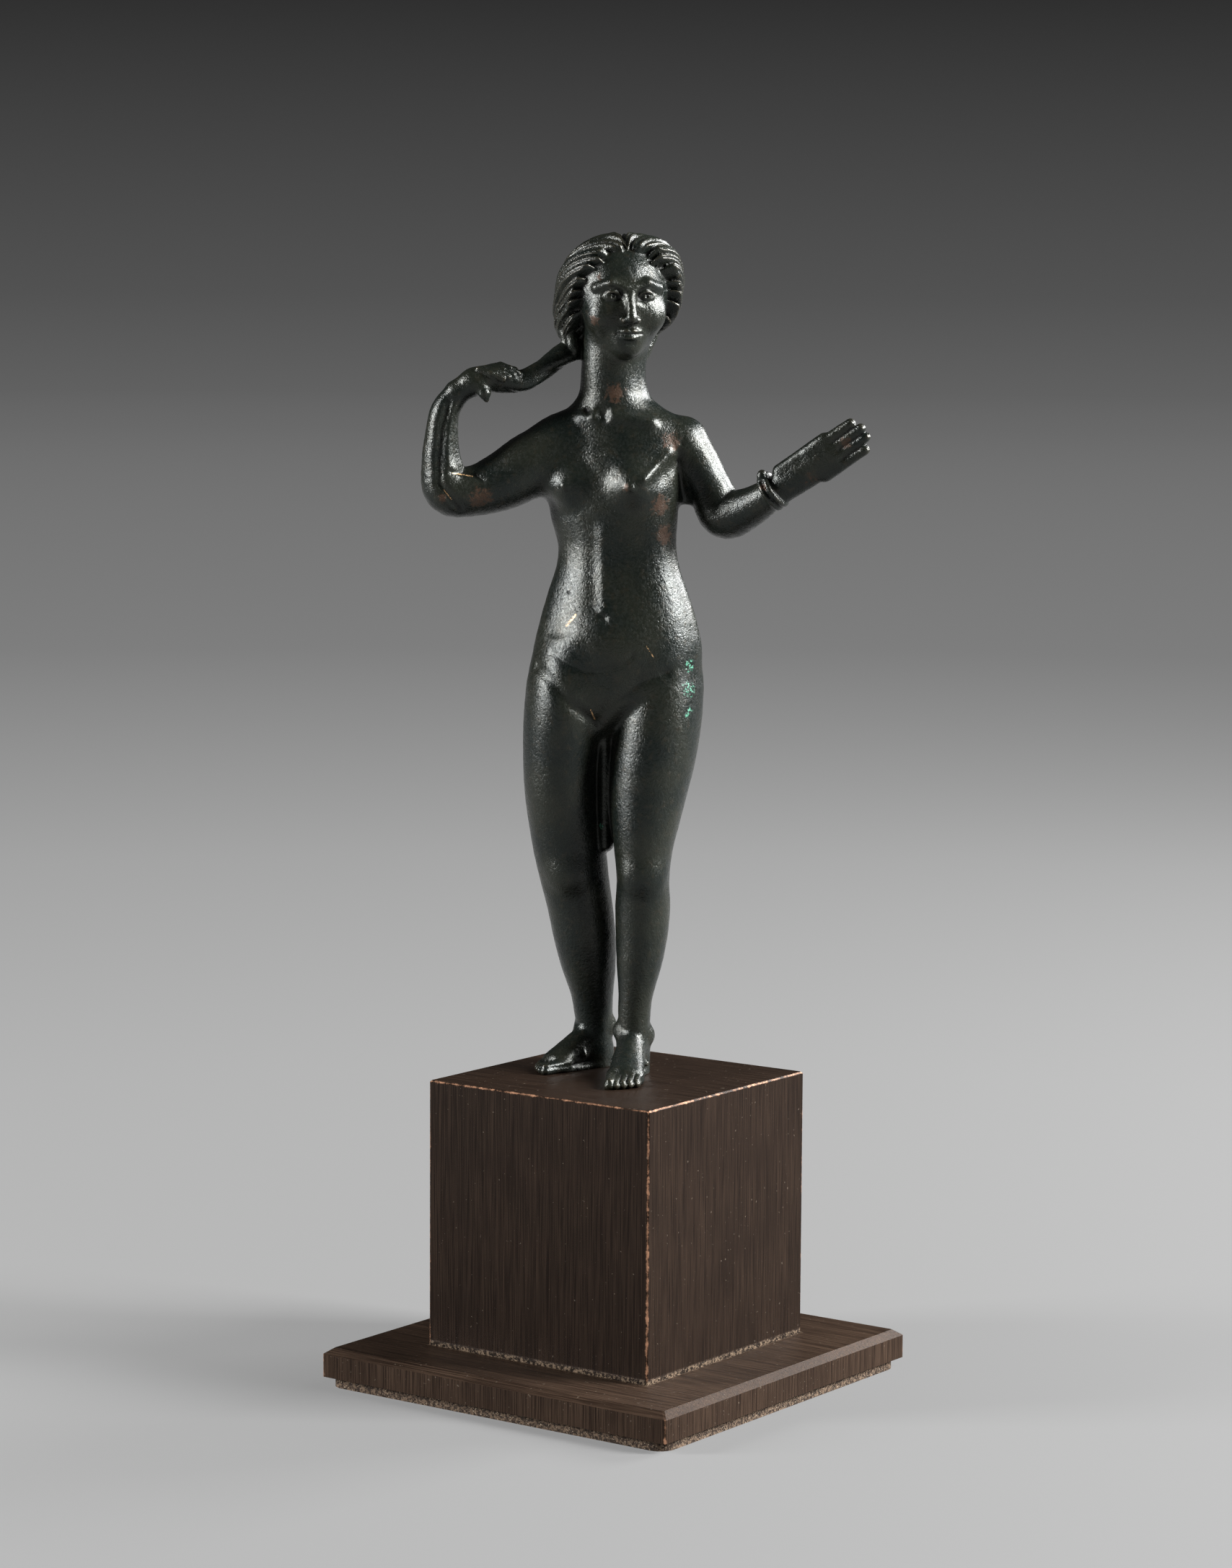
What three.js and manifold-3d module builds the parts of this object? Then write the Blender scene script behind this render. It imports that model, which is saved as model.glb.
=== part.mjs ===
// Cast bronze Venus, standing nude and holding a tress of her hair in her right hand, on a cube
// of dark brushed metal with a square foot plate and a cork pad. Millimetres, +Z up, origin at
// the centre of the cork's underside.

import * as THREE from 'three';
import { mergeVertices } from 'three/addons/utils/BufferGeometryUtils.js';
import Module from 'manifold-3d';

const wasm = await Module();
wasm.setup();

// Foot, plate and cube.
const CORK_SIDE = 73.4;
const CORK_THICKNESS = 1.8;
const CORK_CORNER_RADIUS = 3;
const PLATE_SIDE = 75;
const PLATE_THICKNESS = 5.2;
const PLATE_BEVEL_WIDTH = 1.5;
const PLATE_BEVEL_DROP = 1.1;
const CUBE_SIDE = 48;
const WORN_EDGE = 0.3;
const PLATE_BOTTOM = CORK_THICKNESS;
const CUBE_BOTTOM = PLATE_BOTTOM + PLATE_THICKNESS;
const CUBE_TOP = CUBE_BOTTOM + CUBE_SIDE;

// The figure is drawn with x across her outspread arms, to her left, y to her back and z up
// from her soles, and stands on the cube turned by this angle.
const TURN_ON_CUBE = THREE.MathUtils.degToRad(35.93);

// How far each level of the body faces to her right of straight ahead.
const CHEST_TURN = THREE.MathUtils.degToRad(20);
const PELVIS_TURN = THREE.MathUtils.degToRad(12);
const HEAD_TURN = THREE.MathUtils.degToRad(-11);

// Body sections: height, centre across, centre back, half width, half depth.
const TORSO_SECTIONS = [
  [60.5, -3, 4.2, 2.4, 5],
  [64, -2.6, 3.9, 5.4, 7.4],
  [68, -1.8, 3.7, 10.4, 8.9],
  [72, -1, 3.5, 14.2, 9.3],
  [76, -0.45, 3.2, 15.1, 9.4],
  [81, -0.35, 3, 14.2, 9],
  [86, -0.4, 3, 12.8, 8],
  [91, -0.5, 3, 11.2, 7.2],
  [94.5, -0.65, 3, 10.8, 7.1],
  [99.5, -1.2, 3.1, 11.6, 7.5],
  [105, -1.3, 3.3, 12.2, 7.8],
  [110, -0.9, 3.6, 12.2, 7.4],
  [115, -0.5, 4, 11.2, 6.2],
  [119, -0.6, 4.3, 9, 5],
];
const NECK_SECTIONS = [
  [110, -1, 4.8, 8, 6],
  [117, -1.1, 4.6, 7.2, 6],
  [121, -1.3, 4.2, 6.2, 5.8],
  [125, -1.5, 3.8, 5.7, 5.6],
  [133, -0.8, 3.4, 6, 6],
];
const RIGHT_LEG_SECTIONS = [
  [2, -4.2, 10.8, 3.1, 3.6],
  [7, -4.3, 10.4, 3.2, 3.5],
  [10.2, -4.5, 10, 3.5, 3.6],
  [13, -4.7, 9.8, 3.8, 4.1],
  [18.3, -5.4, 9.4, 4.9, 5.2],
  [23.6, -6.1, 8.9, 5.6, 6],
  [29, -6.9, 8.2, 5.9, 6.2],
  [34.3, -7.9, 7, 6.2, 6.2],
  [39.6, -8.8, 6.2, 6.5, 6.6],
  [45, -9.7, 5.6, 6.5, 7.1],
  [50.4, -10.3, 5, 6.6, 7.7],
  [56, -10.4, 4.6, 6.8, 8.2],
  [62, -10, 4.2, 7.2, 8.9],
  [67, -9.4, 3.9, 7.5, 9.2],
  [72, -8.6, 3.7, 7.6, 8.9],
  [78, -7.4, 3.5, 6, 7.6],
];
const LEFT_LEG_SECTIONS = [
  [2, 2.9, 3.4, 2.8, 3.4],
  [8, 2.9, 2.9, 2.85, 3.2],
  [11.9, 2.95, 2.6, 2.95, 3.2],
  [14.6, 3.2, 2.6, 3.15, 3.6],
  [19.8, 3.75, 2.7, 4.05, 4.6],
  [25, 4.15, 2.8, 4.65, 5.4],
  [30.2, 4.3, 2.3, 4.9, 5.7],
  [35.3, 4.3, 1.2, 4.7, 5.5],
  [40.5, 4.35, 0.9, 5.2, 6],
  [45.7, 4.7, 1.1, 6.1, 6.8],
  [50.8, 5.2, 1.5, 6.9, 7.5],
  [56, 5.9, 2, 7.5, 8.3],
  [62, 6.6, 2.6, 7.8, 8.9],
  [67, 7.1, 3, 7.7, 9.1],
  [72, 7.3, 3.3, 7.4, 8.8],
  [78, 6.6, 3.5, 6, 7.6],
];

// Limbs as smooth curves through balls: across, back, height, radius.
const RIGHT_ARM = [
  [-10.5, 4.4, 112, 5.1],
  [-15.5, 4, 109.1, 5.7],
  [-20.6, 3.4, 106.1, 5.2],
  [-25.6, 2.8, 104.3, 4.5],
  [-30.4, 2.2, 104.5, 4.45],
  [-31.7, 1.4, 109.4, 3.5],
  [-31.6, 0.7, 114.4, 2.9],
  [-31, 0.3, 118.3, 2.6],
  [-28.9, 0, 121.5, 2.2],
];
const LEFT_ARM = [
  [10.9, 2.2, 113.2, 4.2],
  [13.3, 1.7, 109.3, 4.05],
  [15.6, 1.2, 105.3, 3.8],
  [18.2, 0.6, 100.5, 4.3],
  [22.3, -2.6, 101.7, 3.6],
  [26.2, -6, 104.3, 2.8],
];
const TRESS = [
  [-23.6, -0.1, 123.6, 1.8],
  [-20.6, 0, 123.6, 2.2],
  [-17.3, 0.4, 123.6, 2.1],
  [-14.4, 1.2, 125.4, 2],
  [-11.9, 2.2, 127.1, 2.05],
  [-9.6, 3.4, 128.6, 2.2],
  [-6.4, 7, 130.2, 2.5],
  [-3.2, 11.5, 132, 3.1],
];
const SIDE_LOCK = [
  [-9.6, 4.6, 136.4, 2.4],
  [-9.4, 3.6, 132.8, 1.9],
  [-8.6, 3, 129.4, 1.7],
];
const CURVE_PARTS = 3;

// Right hand, closed on the tress: palm, knuckles and thumb as balls, and its fingers as a row.
const RIGHT_PALM = [
  [-28.9, 0, 121.6, 2.2],
  [-26, -0.4, 123.4, 2.3],
  [-22.4, -0.6, 124.4, 2.1],
];
const RIGHT_KNUCKLES = [
  [-25.6, -0.4, 125, 0.9],
  [-21.4, -0.2, 126, 0.8],
  [-18.8, -0.2, 125.6, 0.6],
];
const RIGHT_THUMB = [
  [-24.9, -1.5, 123, 1.3],
  [-24, -2, 121.5, 1.05],
  [-23.7, -2, 120.4, 0.55],
];
const RIGHT_FINGER = {
  count: 4,
  radius: 0.55,
  from: [-25.1, -1.9, 125.7],
  to: [-20.7, -2.5, 124],
  nextFrom: [1.27, 0.45, 0.27],
  nextTo: [0.87, 0.45, 0.33],
};

// Left hand, open and flat, with a bracelet at the wrist.
const LEFT_WRIST = [27.3, -7, 105];
const LEFT_FINGERTIPS = [42.7, -13.3, 116];
const LEFT_HAND_ACROSS = [0.52, 0.05, -0.85];
const LEFT_HAND_WIDTH = 6.4;
const LEFT_HAND_THICKNESS = 3.2;
const LEFT_FINGERS_SHORT = [0.05, 0, 0.01, 0.08];
const BRACELET_CENTRE = [26.5, -6.6, 104.9];
const BRACELET_RADIUS = 3.15;
const BRACELET_WIRE = 0.7;
const BEZEL_CENTRE = [24.5, -7.9, 107.5];
const BEZEL_RADII = [1, 1, 1.25];

// Head, and the angle back from the face at which the hair starts, by height round the face.
const HEAD_CENTRE = [-0.3, 3.4, 138.9];
const HAIR_THICKNESS = 2.5;
const HAIRLINE = [[-1, 112], [-0.8, 100], [-0.55, 80], [0, 57], [0.6, 49], [1, 44]];
const LOCKS_PER_SIDE = 9;
const LOCK_FAN = THREE.MathUtils.degToRad(132);
const LOCK_SWEEP = 0.85;
const LOCK_RELIEF = 0.75;
const LEFT_TAIL = [[6.6, 3.2, -5.8, 2], [6, 2.6, -8.2, 1.5], [5.2, 1.8, -10.4, 1.05], [4.4, 1.2, -11.7, 0.7]];

// Feet: ankle on the ground plan, heading to her right of straight ahead, length from the ankle
// to the toes.
const LEFT_FOOT = { ankle: [2.5, 2.6], heading: 6, reach: 17.2, inner: -1 };
const RIGHT_FOOT = { ankle: [-4.4, 10.2], heading: 52, reach: 13.6, inner: 1 };

// Fineness of the skin: lattice step, triangles left after thinning, and the parts kept finer.
const LATTICE_LOW = [-38, -19, -2.5];
const LATTICE_HIGH = [46, 21, 152];
const LATTICE_STEP = 0.5;
const BLOCK = 6;
const FIGURE_TRIANGLES = 9200;
const FINE_PARTS = [
  { centre: [-0.3, 3.4, 138.9], radius: 13, weight: 5 },
  { centre: [38, -11.5, 112], radius: 10, weight: 3 },
  { centre: [-23, 0, 123], radius: 8, weight: 3 },
  { centre: [1.6, -9, 0], radius: 8, weight: 3 },
  { centre: [-10, 6, 0], radius: 8, weight: 3 },
];

// Limits of the thinning: the leanest face and the sharpest turn of a face that a fold may leave.
const SLIVER = 0.03;
const FOLD_LIMIT = 0.35;

const { clamp, degToRad, lerp, smoothstep } = THREE.MathUtils;

// Solid fields: each gives the distance of a point from a surface, below zero inside.

function softMin(a, b, reach) {
  const near = Math.max(reach - Math.abs(a - b), 0);
  return Math.min(a, b) - (near * near) / (4 * reach);
}

function softMax(a, b, reach) {
  return -softMin(-a, -b, reach);
}

function scaledLength(x, y, z, rx, ry, rz) {
  const near = Math.hypot(x / rx, y / ry, z / rz);
  const steep = Math.hypot(x / (rx * rx), y / (ry * ry), z / (rz * rz));
  return steep < 1e-9 ? -Math.min(rx, ry, rz) : (near * (near - 1)) / steep;
}

function ellipsoid([cx, cy, cz], [rx, ry, rz]) {
  return (x, y, z) => scaledLength(x - cx, y - cy, z - cz, rx, ry, rz);
}

function taper([ax, ay, az, ra], [bx, by, bz, rb]) {
  const [dx, dy, dz] = [bx - ax, by - ay, bz - az];
  const square = dx * dx + dy * dy + dz * dz;
  return (x, y, z) => {
    const t = clamp(((x - ax) * dx + (y - ay) * dy + (z - az) * dz) / square, 0, 1);
    return Math.hypot(x - ax - t * dx, y - ay - t * dy, z - az - t * dz) - lerp(ra, rb, t);
  };
}

function chain(balls, reach = 0.8) {
  const links = balls.slice(1).map((ball, i) => taper(balls[i], ball));
  return (x, y, z) => links.reduce((d, link) => softMin(d, link(x, y, z), reach), 1e3);
}

// The direction nearest to one vector that is square to an axis.
function squared(vector, axis) {
  return vector.clone().addScaledVector(axis, -axis.dot(vector)).normalize();
}

// Rows on a smooth curve drawn through the given rows.
function curveThrough(rows, parts = CURVE_PARTS) {
  const beyond = (end, next) => end.map((value, i) => 2 * value - next[i]);
  const last = rows.length - 1;
  const padded = [beyond(rows[0], rows[1]), ...rows, beyond(rows[last], rows[last - 1])];
  const made = [];
  for (let k = 1; k <= last; k += 1) {
    const [a, b, c, d] = padded.slice(k - 1, k + 3);
    for (let part = 0; part < parts; part += 1) {
      const t = part / parts;
      made.push(b.map((value, i) => {
        const square = 2 * a[i] - 5 * value + 4 * c[i] - d[i];
        const cube = 3 * value - a[i] - 3 * c[i] + d[i];
        return value + ((c[i] - a[i]) * t + square * t * t + cube * t ** 3) / 2;
      }));
    }
  }
  return [...made, rows[last]];
}

// A bar of elliptical section whose width lies along a given direction.
function paddle(from, to, across, wide, thick) {
  const a = new THREE.Vector3(...from);
  const axis = new THREE.Vector3(...to).sub(a);
  const length = axis.length();
  axis.normalize();
  const side = squared(new THREE.Vector3(...across), axis);
  const face = new THREE.Vector3().crossVectors(axis, side);
  return (x, y, z) => {
    const [px, py, pz] = [x - a.x, y - a.y, z - a.z];
    const along = px * axis.x + py * axis.y + pz * axis.z;
    const t = clamp(along / length, 0, 1);
    const w = px * side.x + py * side.y + pz * side.z;
    const n = px * face.x + py * face.y + pz * face.z;
    const thickness = lerp(thick[0], thick[1], t);
    return scaledLength(along - t * length, w, n, thickness, lerp(wide[0], wide[1], t), thickness);
  };
}

// A body of stacked ellipses, smooth from one section to the next, turned by an angle about z.
function sectionStack(rows, turnAt, round) {
  const bottom = rows[0][0];
  const top = rows[rows.length - 1][0];
  const samples = 400;
  const table = [];
  for (let i = 0; i <= samples; i += 1) {
    const z = lerp(bottom, top, i / samples);
    let k = rows.findIndex((row) => row[0] >= z);
    k = clamp(k, 1, rows.length - 1);
    const t = (z - rows[k - 1][0]) / (rows[k][0] - rows[k - 1][0]);
    const around = [rows[Math.max(k - 2, 0)], rows[k - 1], rows[k], rows[Math.min(k + 1, rows.length - 1)]];
    table.push([1, 2, 3, 4].map((c) => hermite(around, c, t)));
  }
  return (x, y, z) => {
    const place = (clamp((z - bottom) / (top - bottom), 0, 1)) * samples;
    const i = Math.min(Math.floor(place), samples - 1);
    const t = place - i;
    const [low, high] = [table[i], table[i + 1]];
    const px = x - lerp(low[0], high[0], t);
    const py = y - lerp(low[1], high[1], t);
    const turn = turnAt(z);
    const [c, s] = [Math.cos(turn), Math.sin(turn)];
    const across = px * c - py * s;
    const back = px * s + py * c;
    const d = scaledLength(across, back, 0, lerp(low[2], high[2], t), lerp(low[3], high[3], t), 1);
    return softMax(softMax(d, z - top, round), bottom - z, round);
  };
}

function hermite(rows, column, t) {
  const [z0, z1, z2, z3] = rows.map((row) => row[0]);
  const [v0, v1, v2, v3] = rows.map((row) => row[column]);
  const span = z2 - z1;
  const m1 = z2 > z0 ? ((v2 - v0) / (z2 - z0)) * span : 0;
  const m2 = z3 > z1 ? ((v3 - v1) / (z3 - z1)) * span : 0;
  const [t2, t3] = [t * t, t * t * t];
  return (2 * t3 - 3 * t2 + 1) * v1 + (t3 - 2 * t2 + t) * m1 + (3 * t2 - 2 * t3) * v2 + (t3 - t2) * m2;
}

// Skips the inside of a field for points well clear of its box.
function boxed(field, low, high) {
  const margin = 4;
  return (x, y, z) => {
    const dx = Math.max(low[0] - x, x - high[0], 0);
    const dy = Math.max(low[1] - y, y - high[1], 0);
    const dz = Math.max(low[2] - z, z - high[2], 0);
    const outside = Math.hypot(dx, dy, dz);
    return outside > margin ? outside : field(x, y, z);
  };
}

// Depth of a soft groove along a line of points, seen from the front or from the back.
function frontGroove(points, width, depth) {
  return (x, z) => {
    let nearest = 1e3;
    for (let i = 1; i < points.length; i += 1) {
      const [ax, az] = points[i - 1];
      const [bx, bz] = points[i];
      const square = (bx - ax) ** 2 + (bz - az) ** 2;
      const t = clamp(((x - ax) * (bx - ax) + (z - az) * (bz - az)) / square, 0, 1);
      nearest = Math.min(nearest, Math.hypot(x - lerp(ax, bx, t), z - lerp(az, bz, t)));
    }
    return depth * Math.exp(-((nearest / width) ** 2));
  };
}

// Lines worked into the front of the body: down the middle, under the belly, down both groins
// and at the left armpit.
const BODY_GROOVES = [
  frontGroove([[-4.9, 99], [-4.8, 90], [-4.6, 84]], 1.3, 0.16),
  frontGroove([[-11.8, 76.1], [-9.2, 74.1], [-6.2, 72.9], [-2.6, 73.1], [2, 75.8]], 0.8, 0.2),
  frontGroove([[-14.5, 73.3], [-11.8, 71], [-8.5, 66.7], [-4.5, 64]], 1, 0.42),
  frontGroove([[8, 72.8], [3.4, 71.1], [-0.6, 68.1], [-2.9, 65.4], [-3.9, 63.7]], 1, 0.42),
  frontGroove([[10.1, 111.4], [10.5, 108], [10.8, 105], [11.4, 103]], 0.8, 0.4),
];

// Places seen from a part of the body that is turned about z.
function turned(centre, turn) {
  const [c, s] = [Math.cos(turn), Math.sin(turn)];
  return (across, back, z) => [centre[0] + across * c + back * s, centre[1] - across * s + back * c, z];
}

// Torso, with breasts, belly, buttocks and shoulder blades.

function torsoField() {
  const turnAt = (z) => lerp(PELVIS_TURN, CHEST_TURN, smoothstep(z, 76, 100));
  const trunk = sectionStack(TORSO_SECTIONS, turnAt, 3);
  const neck = sectionStack(NECK_SECTIONS, () => 0, 1);
  const yoke = taper([-11, 4.4, 113, 4], [11, 2.6, 113.2, 3.9]);
  const chest = turned([-1.3, 3.3], CHEST_TURN);
  const pelvis = turned([-0.8, 3.5], PELVIS_TURN);
  const breasts = [-5.8, 5.8].map((side) => ellipsoid(chest(side, -5.2, 105.6), [3.9, 3.7, 3.7]));
  const belly = ellipsoid(pelvis(0, -3.2, 77.8), [8.5, 6.4, 6]);
  const buttocks = [-6.6, 6.6].map((side) => ellipsoid(pelvis(side, 5.2, 68.5), [7.2, 6.6, 8]));
  const blades = [-5.6, 5.6].map((side) => ellipsoid(chest(side, 4.2, 107.5), [4.2, 3.8, 5.5]));
  const sideFlesh = taper([10.5, 2.2, 111, 2.9], [11.9, 1.8, 103.7, 1.7]);
  return (x, y, z) => {
    let d = softMin(trunk(x, y, z), yoke(x, y, z), 3.5);
    d = softMin(d, neck(x, y, z), 3.5);
    for (const breast of breasts) d = softMin(d, breast(x, y, z), 2.4);
    d = softMin(d, belly(x, y, z), 3);
    const seat = Math.min(buttocks[0](x, y, z), buttocks[1](x, y, z));
    d = softMin(d, seat, 2.2);
    for (const blade of blades) d = softMin(d, blade(x, y, z), 2.4);
    return softMin(d, sideFlesh(x, y, z), 2);
  };
}

// Legs, with the web of metal left between the thighs.

function legsField() {
  const right = sectionStack(RIGHT_LEG_SECTIONS, () => 0, 1);
  const left = sectionStack(LEFT_LEG_SECTIONS, () => 0, 1);
  const web = paddle([-2.5, 5.6, 41.4], [-2.7, 5, 62], [0, 1, 0], [4.4, 5], [1.7, 1.9]);
  const knees = [[-8.6, 2.6, 36.6], [4.3, -2, 36.6]].map((centre) => ellipsoid(centre, [3.4, 2.7, 3.6]));
  return (x, y, z) => {
    const rightLeg = softMin(right(x, y, z), knees[0](x, y, z), 2);
    const leftLeg = softMin(left(x, y, z), knees[1](x, y, z), 2);
    return softMin(Math.min(rightLeg, leftLeg), web(x, y, z), 0.8);
  };
}

// One foot with five toes: wedge from ankle to ball, heel, and sole left to be cut flat.

function footField({ ankle, heading, reach, inner }) {
  const turn = degToRad(heading);
  const place = (forward, side, z) => [
    ankle[0] - forward * Math.sin(turn) + side * inner * Math.cos(turn),
    ankle[1] - forward * Math.cos(turn) - side * inner * Math.sin(turn),
    z,
  ];
  const ball = reach * 0.62;
  const across = place(0, 1, 0).map((value, i) => value - [...ankle, 0][i]);
  const arch = paddle(place(1, 0, 4.6), place(ball, 0, 1.7), across, [2.6, 3.2], [3.6, 1.9]);
  const heel = ellipsoid(place(-1.2, 0, 2), [2.7, 2.9, 3.4]);
  const sole = paddle(place(-1.4, 0, 0.2), place(ball, 0, 0.4), across, [2.4, 3.2], [1.4, 1.3]);
  const toes = [];
  for (let i = 0; i < 5; i += 1) {
    const side = 2.4 - i * 1.22;
    const radius = i === 0 ? 1.15 : 0.85;
    const tip = reach - radius - i * i * 0.14;
    toes.push(taper([...place(ball - 0.5, side, 1.3), radius], [...place(tip, side * 0.92, 0.85), radius]));
  }
  return (x, y, z) => {
    let d = softMin(arch(x, y, z), heel(x, y, z), 1.5);
    d = softMin(d, sole(x, y, z), 1);
    const toe = toes.reduce((nearest, field) => Math.min(nearest, field(x, y, z)), 1e3);
    return softMin(d, toe, 0.5);
  };
}

// Right hand closed on the tress, left hand open and flat with a bracelet at the wrist.

function rightHandField() {
  const palm = chain(RIGHT_PALM, 1);
  const knuckles = chain(RIGHT_KNUCKLES, 0.6);
  const thumb = chain(RIGHT_THUMB, 0.5);
  const { count, radius, from, to, nextFrom, nextTo } = RIGHT_FINGER;
  const fingers = [];
  for (let i = 0; i < count; i += 1) {
    const root = from.map((value, axis) => value + i * nextFrom[axis]);
    const tip = to.map((value, axis) => value + i * nextTo[axis]);
    fingers.push(taper([...root, radius], [...tip, radius]));
  }
  return (x, y, z) => {
    const finger = fingers.reduce((nearest, field) => Math.min(nearest, field(x, y, z)), 1e3);
    let hand = softMin(palm(x, y, z), knuckles(x, y, z), 0.8);
    hand = softMin(hand, thumb(x, y, z), 0.5);
    return softMin(hand, finger, 0.2);
  };
}

function leftHandField() {
  const wrist = new THREE.Vector3(...LEFT_WRIST);
  const axis = new THREE.Vector3(...LEFT_FINGERTIPS).sub(wrist);
  const length = axis.length();
  axis.normalize();
  const across = squared(new THREE.Vector3(...LEFT_HAND_ACROSS), axis);
  const at = (along, side) => wrist.clone().addScaledVector(axis, along * length)
    .addScaledVector(across, side).toArray();
  const half = LEFT_HAND_WIDTH / 2;
  const thin = LEFT_HAND_THICKNESS / 2;
  const palm = paddle(at(0, 0), at(0.6, 0), across.toArray(), [2.7, half], [2.2, thin]);
  const fingers = LEFT_FINGERS_SHORT.map((short, i) => {
    const side = (i - 1.5) * half * 0.5;
    return taper([...at(0.45, side), 1.25], [...at(0.96 - short, side * 1.08), 0.93]);
  });
  const thumb = taper([...at(0.12, -half * 0.8), 1.3], [...at(0.62, -half * 0.95), 0.95]);
  const bezel = ellipsoid(BEZEL_CENTRE, BEZEL_RADII);
  const bracelet = new THREE.Vector3(...BRACELET_CENTRE);
  const ring = (x, y, z) => {
    const [px, py, pz] = [x - bracelet.x, y - bracelet.y, z - bracelet.z];
    const along = px * axis.x + py * axis.y + pz * axis.z;
    const out = Math.sqrt(Math.max(px * px + py * py + pz * pz - along * along, 0));
    return Math.hypot(along, out - BRACELET_RADIUS) - BRACELET_WIRE;
  };
  return (x, y, z) => {
    const finger = fingers.reduce((nearest, field) => Math.min(nearest, field(x, y, z)), 1e3);
    let d = softMin(palm(x, y, z), finger, 0.8);
    d = softMin(d, thumb(x, y, z), 0.7);
    d = softMin(d, ring(x, y, z), 0.3);
    return softMin(d, bezel(x, y, z), 0.2);
  };
}

// Head: a calm, regular face under thick locks swept back from a centre parting.

function faceField() {
  const cranium = ellipsoid([0, 1, 1.8], [8.9, 9.2, 8.2]);
  const oval = ellipsoid([0, -1.8, -2], [7.2, 7.4, 9]);
  const chin = ellipsoid([0, -5.7, -8.9], [2.8, 2.8, 2.3]);
  const bridge = taper([0, -8.4, 0.8, 0.9], [0, -10.6, -4, 1.1]);
  const sides = [-1, 1];
  const wings = sides.map((side) => ellipsoid([side * 1.1, -9.5, -4.6], [0.8, 1, 0.7]));
  const cheeks = sides.map((side) => ellipsoid([side * 4, -5.4, -3.6], [2.9, 3, 3]));
  const browBalls = [[1.2, -8.8, 1.1, 0.7], [3.4, -8.3, 1.7, 0.7], [5.6, -6.6, 0.9, 0.7]];
  const brows = sides.map((side) => chain(browBalls.map(([x, ...rest]) => [side * x, ...rest])));
  const sockets = sides.map((side) => ellipsoid([side * 3.1, -9.7, -0.6], [1.9, 1.6, 1.2]));
  const eyes = sides.map((side) => ellipsoid([side * 3.1, -7.3, -0.7], [1.6, 1.3, 0.9]));
  const upperLip = ellipsoid([0, -8.4, -6.7], [2.1, 0.9, 0.5]);
  const lowerLip = ellipsoid([0, -8.2, -7.6], [1.7, 0.9, 0.55]);
  return (x, y, z) => {
    let d = softMin(cranium(x, y, z), oval(x, y, z), 2.5);
    d = softMin(d, chin(x, y, z), 2);
    for (const cheek of cheeks) d = softMin(d, cheek(x, y, z), 1.5);
    for (const brow of brows) d = softMin(d, brow(x, y, z), 0.8);
    for (const socket of sockets) d = softMax(d, -socket(x, y, z), 0.9);
    for (const eye of eyes) d = softMin(d, eye(x, y, z), 0.3);
    d = softMin(d, bridge(x, y, z), 0.8);
    for (const wing of wings) d = softMin(d, wing(x, y, z), 0.5);
    d = softMin(d, upperLip(x, y, z), 0.4);
    return softMin(d, lowerLip(x, y, z), 0.4);
  };
}

function hairline(rise) {
  const above = HAIRLINE.findIndex((stop) => stop[0] >= rise);
  const k = clamp(above, 1, HAIRLINE.length - 1);
  const t = (rise - HAIRLINE[k - 1][0]) / (HAIRLINE[k][0] - HAIRLINE[k - 1][0]);
  return degToRad(lerp(HAIRLINE[k - 1][1], HAIRLINE[k][1], t));
}

function hairField() {
  const scalp = ellipsoid([0, 1, 0.6], [8.9, 9.3, 8]);
  const upperLeft = ellipsoid([3.6, 0, 3.2], [5.2, 6.6, 5.2]);
  const lowerRight = ellipsoid([-5.8, 2.6, -3.4], [3.4, 4.2, 4.6]);
  const knot = ellipsoid([-2, 9.6, -5.8], [4.4, 3.4, 3.2]);
  const tail = chain(LEFT_TAIL);
  return (x, y, z) => {
    const lowered = Math.max(y, 0);
    const [ax, az] = [x + 0.2 * lowered, z + 0.5 + 0.35 * lowered];
    const out = Math.hypot(ax, az);
    const back = Math.atan2(out, -y);
    const side = Math.atan2(az, Math.abs(ax));
    const start = hairline(az / Math.max(out, 1e-6));
    const cover = smoothstep(back, start, start + 0.16);
    const combed = side + LOCK_SWEEP * Math.max(back - start, 0) * (1 - 0.6 * smoothstep(side, 0.8, 1.5));
    const phase = ((Math.PI / 2 - combed) / LOCK_FAN) * LOCKS_PER_SIDE;
    const lobe = Math.abs(Math.sin(Math.PI * phase)) ** 0.7;
    const relief = LOCK_RELIEF * (1 - lobe) * smoothstep(out, 1.5, 6);
    let d = softMin(scalp(x, y, z), upperLeft(x, y, z), 1.2);
    d = softMin(d, lowerRight(x, y, z), 1.2);
    d += (relief - HAIR_THICKNESS) * cover + 0.6 * (1 - cover);
    d = softMin(d, knot(x, y, z), 1.2);
    return softMin(d, tail(x, y, z), 0.6);
  };
}

function headField() {
  const face = faceField();
  const hair = hairField();
  const [c, s] = [Math.cos(HEAD_TURN), Math.sin(HEAD_TURN)];
  return (x, y, z) => {
    const [px, py, pz] = [x - HEAD_CENTRE[0], y - HEAD_CENTRE[1], z - HEAD_CENTRE[2]];
    const [hx, hy] = [px * c - py * s, px * s + py * c];
    return softMin(face(hx, hy, pz), hair(hx, hy, pz), 0.4);
  };
}

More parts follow.
